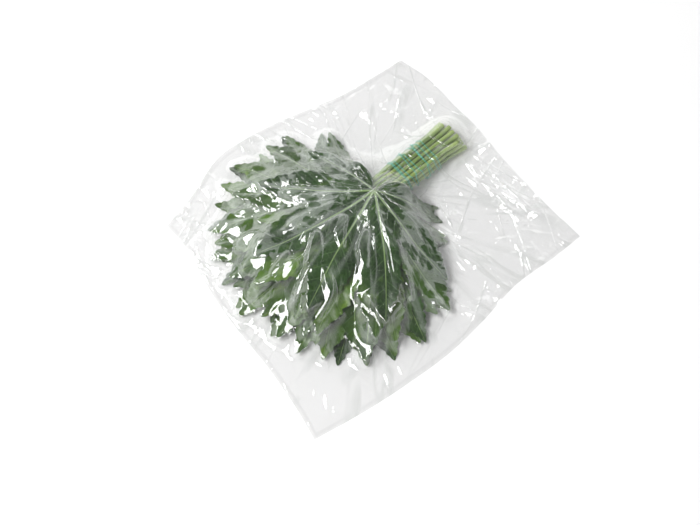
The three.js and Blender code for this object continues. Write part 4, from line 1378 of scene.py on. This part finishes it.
# The greens of a stalk: its own, and those of its streaks, its lighter parts, its shaded parts, its
# lowest run and its cut
STALK_GREENS = [
    (0.130, 0.235, 0.045), (0.330, 0.450, 0.120), (0.420, 0.500, 0.110), (0.070, 0.140, 0.025),
    (0.460, 0.570, 0.220), (0.560, 0.640, 0.330),
]
STREAK_STRETCHES = (1.5, 9.0, 1.0)
STREAKY = (3.0, 4.0, 0.35, 0.68, 0.0, 1.0)
LIGHTER = (22.0, 2.0, 0.45, 0.7, 0.0, 0.5)
SHADE_STRETCHES = (0.6, 14.0, 14.0)
SHADED = (8.0, 1.0, 0.42, 0.6, 0.55, 0.0)
LOW_STEP = (0.01, 0.4, 0.6, 0.0)
CUT_STEP = (0.0006, 0.006, 1.0, 0.0)
PORES = (900.0, 2.0)
STALK_RELIEF = (0.5, 0.4)
STALK_BUMP = 0.0003
STALK_ROUGHNESS = (0.3, 0.7, 0.38, 0.55)


def stalk_material():
    """Fresh yellow-green stalk with fine lengthwise streaks and a paler cut end."""
    n = Nodes(bpy.data.materials.new("stalk_green"))
    place, plan = n.place(), n.uv()
    along = n.split(plan)[0]
    streaks = n.spots(n.mapped(plan, Scale=STREAK_STRETCHES), *STREAKY)
    lighter = n.spots(place, *LIGHTER)
    shaded = n.spots(n.mapped(place, Scale=SHADE_STRETCHES), *SHADED)
    shares = (streaks, lighter, shaded, n.step(along, *LOW_STEP), n.step(along, *CUT_STEP))
    colour = n.layers(STALK_GREENS[0], *zip(shares, STALK_GREENS[1:]))
    pores = n.noise(place, *PORES)
    relief = n.plus(0.0, *zip((streaks, pores), STALK_RELIEF))
    shader = n.add("ShaderNodeBsdfPrincipled", Base_Color=colour,
                   Roughness=n.step(pores, *STALK_ROUGHNESS), Normal=n.bump(relief, STALK_BUMP))
    shader.inputs["Coat Weight"].default_value = 0.15
    return n.finish(shader.outputs[0])


# The twine's teals: the deeper one is painted shade in the grooves of its twist
TEAL_GROOVE_SHADE = (0.040, 0.260, 0.180)
TEAL_LIGHT = (0.170, 0.580, 0.450)
TWIST = 1.2
TWIST_STEP = (0.0, 0.5, 0.0, 1.0)
TWIST_BUMP = 0.0002
FIBRE_SCALE = 700.0
FIBRE_SHADE = (0.3, 0.7, 0.6, 1.0)
FIBRE_ROUGHNESS = (0.3, 0.7, 0.45, 0.65)


def thread_material():
    """Teal twine with a fine twist, with painted shade in the grooves between its plies."""
    n = Nodes(bpy.data.materials.new("thread_teal"))
    along, around, _ = n.split(n.uv())
    ply = n.step(n.math("PINGPONG", n.plus(around, (along, TWIST)), 0.5), *TWIST_STEP)
    fibre = n.noise(n.place(), FIBRE_SCALE)
    colour = n.layers(TEAL_GROOVE_SHADE, (n.times(ply, n.step(fibre, *FIBRE_SHADE)), TEAL_LIGHT))
    shader = n.add("ShaderNodeBsdfPrincipled", Base_Color=colour,
                   Roughness=n.step(fibre, *FIBRE_ROUGHNESS), Normal=n.bump(ply, TWIST_BUMP))
    shader.inputs["Sheen Weight"].default_value = 0.3
    return n.finish(shader.outputs[0])


# Film: its haze where air lies under it, partly painted sheen, where it touches and where it bends, a
# painted sheen, and the step of the gap at which it stops touching, which scatters by CONTACT_SCATTER
HAZE_AND_SHEEN_MOST = 0.225
HAZE_LEAST = 0.012
# Painted sheen along bends of the film
BEND_SHEEN = 0.16
BEND_STEP = (0.35, 1.2, 0.0, BEND_SHEEN)
CONTACT_STEP = (1.9, 2.15, 0.0, 1.0)
CONTACT_SCATTER = 3.8
CONTACT_NOISE = (62.0, 5.0, 0.62)
CLOUDS = (22.0, 3.0, 0.3, 0.7, 0.6, 1.0)
FILM_ROUGHNESS = 0.04
FILM_MIRROR = 0.08
SLANT_POWER = 5.0
# The white of the film's haze, which is partly painted sheen
HAZE_AND_SHEEN_WHITE = (0.740, 0.790, 0.745, 1)
CLEAR_WHITE = (0.984, 0.983, 0.983)
CREASE_GREY = (0.2, 0.2, 0.2)

# Creases too fine for the mesh, as their number in a metre, half their width in the noise's own
# steps and their height in metres: first those that run out from the neck, then straight ones with
# their turn from +X in degrees. They whiten what is dark behind them, a painted highlight, and darken
# what is white, a painted shade.
STREAKS = [(45.0, 0.07, 0.0007), (120.0, 0.10, 0.0003)]
STRAIGHT_CREASES = [(20, 60.0, 0.045, 0.0006), (66, 46.0, 0.035, 0.0006), (109, 70.0, 0.05, 0.0005)]
CREASE_HIGHLIGHT = 0.12
# Painted shade along crease crests, and the seams' own line
CREASE_DARKENS = 0.06
CREASE_STRETCH = 0.1
CREASE_DETAIL = (1.0, 0.4)
CREASE_RUN = 1.8
CREASE_PATCHES = (1.0, 0.5, 0.62, 0.0, 1.0)

# Facets too fine for the mesh, as their number in a metre and their slope, in patches twice as large,
# and the finest crinkle with its height in metres
CRUMPLES = [(26.0, 0.30), (70.0, 0.16)]
CRUMPLE_PATCHES = (2.0, 0.44, 0.66, 0.0, 1.0)
CRINKLE = 0.0002
CRINKLE_NOISE = (110.0, 3.0, 0.5)


def ridges(n, place, scale, half):
    """Thin wandering ridges that come and go in patches, 1 along their crests."""
    swing = n.math("ABSOLUTE", n.math("SUBTRACT", n.noise(place, scale, *CREASE_DETAIL), 0.5))
    strength = n.spots(place, scale / CREASE_RUN, *CREASE_PATCHES)
    return n.times(n.step(swing, 0.0, half, 1.0, 0.0), strength)


def creased(n, place, slack):
    """Heights of all fine creases of the film, and their crests. Straight ones need slack film."""
    outwards = n.value("streak_place", "Vector")
    found = [(ridges(n, outwards, scale, half), rise) for scale, half, rise in STREAKS]
    for turn, scale, half, rise in STRAIGHT_CREASES:
        turned = n.mapped(place, Rotation=(0, 0, math.radians(-turn)))
        along = n.mapped(turned, Scale=(CREASE_STRETCH, 1.0, 0.0))
        found.append((n.times(ridges(n, along, scale, half), slack), rise))
    crests = 0.0
    for ridge, _ in found:
        crests = n.math("MAXIMUM", ridge, crests)
    return n.plus(0.0, *found), crests


def crumpled(n, place, slack, height):
    """Heights with flat facets between straight creases added."""
    for scale, slope in CRUMPLES:
        cells = n.cells(place, scale, feature="DISTANCE_TO_EDGE", voronoi_dimensions="2D")
        strength = n.spots(place, scale / 2, *CRUMPLE_PATCHES)
        height = n.plus(height, (n.times(cells, n.times(strength, slack)), slope / scale))
    return height


def film_haze_and_sheen(n, place, crests):
    """How much white the film shows: haze where air lies under it, partly painted sheen, and white
    along bends and creases, which is painted sheen and painted highlight.
    """
    ragged = n.noise(place, *CONTACT_NOISE)
    gap = n.plus(-CONTACT_SCATTER, (ragged, 2 * CONTACT_SCATTER), (n.value("air_gap"), 1.0))
    spread = n.times(n.step(gap, *CONTACT_STEP), n.spots(place, *CLOUDS), n.value("haze_and_sheen"))
    haze = n.plus(HAZE_LEAST, (spread, HAZE_AND_SHEEN_MOST - HAZE_LEAST))
    bends = n.step(n.value("bend"), *BEND_STEP)
    return n.plus(n.math("MAXIMUM", haze, bends), (crests, CREASE_HIGHLIGHT))


def film_material():
    """Clear film: hazy where air lies under it, the haze partly painted sheen, clear where it touches,
    glossy all over, with painted highlight and painted shade along its creases.
    """
    n = Nodes(bpy.data.materials.new("film_clear"))
    place, slack = n.place(), n.value("slack")
    creases, crests = creased(n, place, slack)
    crinkle = n.times(n.noise(place, *CRINKLE_NOISE), slack)
    normal = n.bump(n.plus(crumpled(n, place, slack, creases), (crinkle, CRINKLE)), 1.0)
    # Painted shade along crease crests, and the seams' own line
    dim = n.times(n.math("MAXIMUM", crests, n.value("seam")), CREASE_DARKENS)
    # The white of the haze, partly painted sheen
    haze_and_sheen_shader = n.add("ShaderNodeBsdfDiffuse", Color=HAZE_AND_SHEEN_WHITE, Normal=normal)
    clear = n.add("ShaderNodeBsdfTransparent", Color=n.layers(CLEAR_WHITE, (dim, CREASE_GREY)))
    gloss = n.add("ShaderNodeBsdfGlossy", Color=(1, 1, 1, 1), Roughness=FILM_ROUGHNESS, Normal=normal)
    slant = n.add("ShaderNodeLayerWeight", Normal=normal).outputs["Facing"]
    mirrored = n.plus(FILM_MIRROR, (n.math("POWER", slant, SLANT_POWER), 1 - FILM_MIRROR))
    body = n.blend(film_haze_and_sheen(n, place, crests), clear.outputs[0], haze_and_sheen_shader.outputs[0])
    return n.finish(n.blend(mirrored, body, gloss.outputs[0]))


TABLE_WHITE = (0.900, 0.900, 0.900)
MOTTLE_WHITE = (0.915, 0.915, 0.915)
MOTTLE = (6.0, 2.0, 0.3, 0.7, 0.0, 1.0)


def floor_material():
    """Matt white table top with a very faint mottle."""
    n = Nodes(bpy.data.materials.new("table_white"))
    colour = n.layers(TABLE_WHITE, (n.spots(n.place(), *MOTTLE), MOTTLE_WHITE))
    shader = n.add("ShaderNodeBsdfPrincipled", Base_Color=colour, Roughness=0.7)
    shader.inputs["Specular IOR Level"].default_value = 0.1
    return n.finish(shader.outputs[0])


# How fresh each leaf is, lowest first. The rest are dark.
FRESH_LEAVES = {
    1: 0.75, 3: 1.0, 4: 0.35, 5: 0.6, 6: 0.45, 7: 0.35, 9: 0.45, 10: 0.5, 11: 0.12, 13: 0.25, 14: 0.55,
    15: 0.8, 16: 0.3, 17: 0.3,
}
DARK_LEAF = 0.06


# Camera, light and floor
TABLE_WIDTH = 9.0


def make_camera():
    camera = new_object("view", bpy.data.cameras.new("view"))
    camera.data.lens = LENS
    target = Vector(to_frame(VIEW_CENTRE[None], [0])[0])
    azimuth, elevation = math.radians(VIEW_AZIMUTH), math.radians(VIEW_ELEVATION)
    back = Vector((
        math.sin(azimuth) * math.cos(elevation),
        -math.cos(azimuth) * math.cos(elevation),
        math.sin(elevation),
    ))
    camera.location = target + back * VIEW_DISTANCE
    camera.rotation_euler = (-back).to_track_quat("-Z", "Y").to_euler()
    bpy.context.scene.camera = camera
    return target


# Softboxes in the camera's own plan: right, ahead and up of the bunch, width, length and power
SOFTBOXES = [
    ("key", (-1.35, 0.1, 1.9), (0.4, 0.6), 10.0),
    ("strip", (-1.17, -0.12, 2.09), (1.8, 0.75), 47.0),
]
SKY_ABOVE = 0.14
SKY_AROUND = 1.61
SKY_STEPS = (0.3, 0.72)
SKY_SIDE = (-0.6, 0.8, 0)
SKY_SIDE_SHARE = 0.34


def in_camera_plan(across, deep, high):
    """A direction right, ahead and up of the camera's own plan, as one in the frame."""
    azimuth = math.radians(VIEW_AZIMUTH)
    right = Vector((math.cos(azimuth), math.sin(azimuth), 0))
    ahead = Vector((-math.sin(azimuth), math.cos(azimuth), 0))
    return right * across + ahead * deep + Vector((0, 0, high))


def make_light(target):
    for name, place, (width, length), power in SOFTBOXES:
        data = bpy.data.lights.new(name, "AREA")
        data.shape = "RECTANGLE"
        data.size = width
        data.size_y = length
        data.energy = power
        light = new_object(name, data)
        light.location = target + in_camera_plan(*place)
        light.rotation_euler = (target - light.location).to_track_quat("-Z", "Y").to_euler()
    make_sky()
    bpy.context.scene.view_settings.view_transform = "Standard"


def make_sky():
    """White screens all round with a darker ceiling, a little brighter on one side."""
    n = Nodes(bpy.data.worlds.new("studio"), "ShaderNodeOutputWorld")
    place = n.add("ShaderNodeTexCoord").outputs["Generated"]
    side = n.add("ShaderNodeVectorMath", {"operation": "DOT_PRODUCT"})
    n.put(side.inputs[0], place)
    n.put(side.inputs[1], in_camera_plan(*SKY_SIDE).normalized())
    ring = n.step(n.split(place)[2], *SKY_STEPS, SKY_AROUND, SKY_ABOVE)
    strength = n.times(ring, n.plus(1.0, (side.outputs["Value"], SKY_SIDE_SHARE)))
    background = n.add("ShaderNodeBackground", Color=(1, 1, 1, 1), Strength=strength)
    bpy.context.scene.world = n.finish(background.outputs[0])


def make_table():
    half = TABLE_WIDTH / 2
    corners = [(-half, -half, 0), (half, -half, 0), (half, half, 0), (-half, half, 0)]
    mesh = bpy.data.meshes.new("table_top")
    mesh.from_pydata(corners, [], [(0, 1, 2, 3)])
    table = new_object("table_top", mesh)
    table.data.materials.append(floor_material())


def make_bunch():
    rows = bundle_places()
    places = np.concatenate(rows)
    leaves = plan_leaves(rows)
    lines = [stalk_line(leaf, places.mean(0)) for leaf in leaves]
    field = np.full((ROWS, COLUMNS), FILM)
    owner = np.full((ROWS, COLUMNS), -1)
    stalk_finish = stalk_material()
    for index, (leaf, line) in enumerate(zip(leaves, lines)):
        ceiling = np.full((ROWS, COLUMNS), NO_CEILING)
        for later in lines[index + 1:]:
            hang_below_stalk(ceiling, later)
        outline = leaf_outline(leaf)
        part, inside, height = lay_leaf(leaf, outline, field, ceiling)
        blade = make_blade(leaf, outline, height, part)
        fresh = FRESH_LEAVES.get(index + 1, DARK_LEAF)
        blade.data.materials.append(leaf_material(f"{leaf['name']}_green", fresh))
        cover_with_stalk(field, line)
        higher = inside & (height + FINE_THICKNESS > field[part])
        field[part] = np.where(higher, height + FINE_THICKNESS, field[part])
        owner[part] = np.where(higher, index, owner[part])
        stalk = make_stalk(leaf, line)
        stalk.data.materials.append(stalk_finish)
    thread = make_thread(rows)
    thread.data.materials.append(thread_material())
    bag = make_bag(field, owner, leaves)
    bag.data.materials.append(film_material())


TARGET = make_camera()
make_bunch()
make_table()
make_light(TARGET)
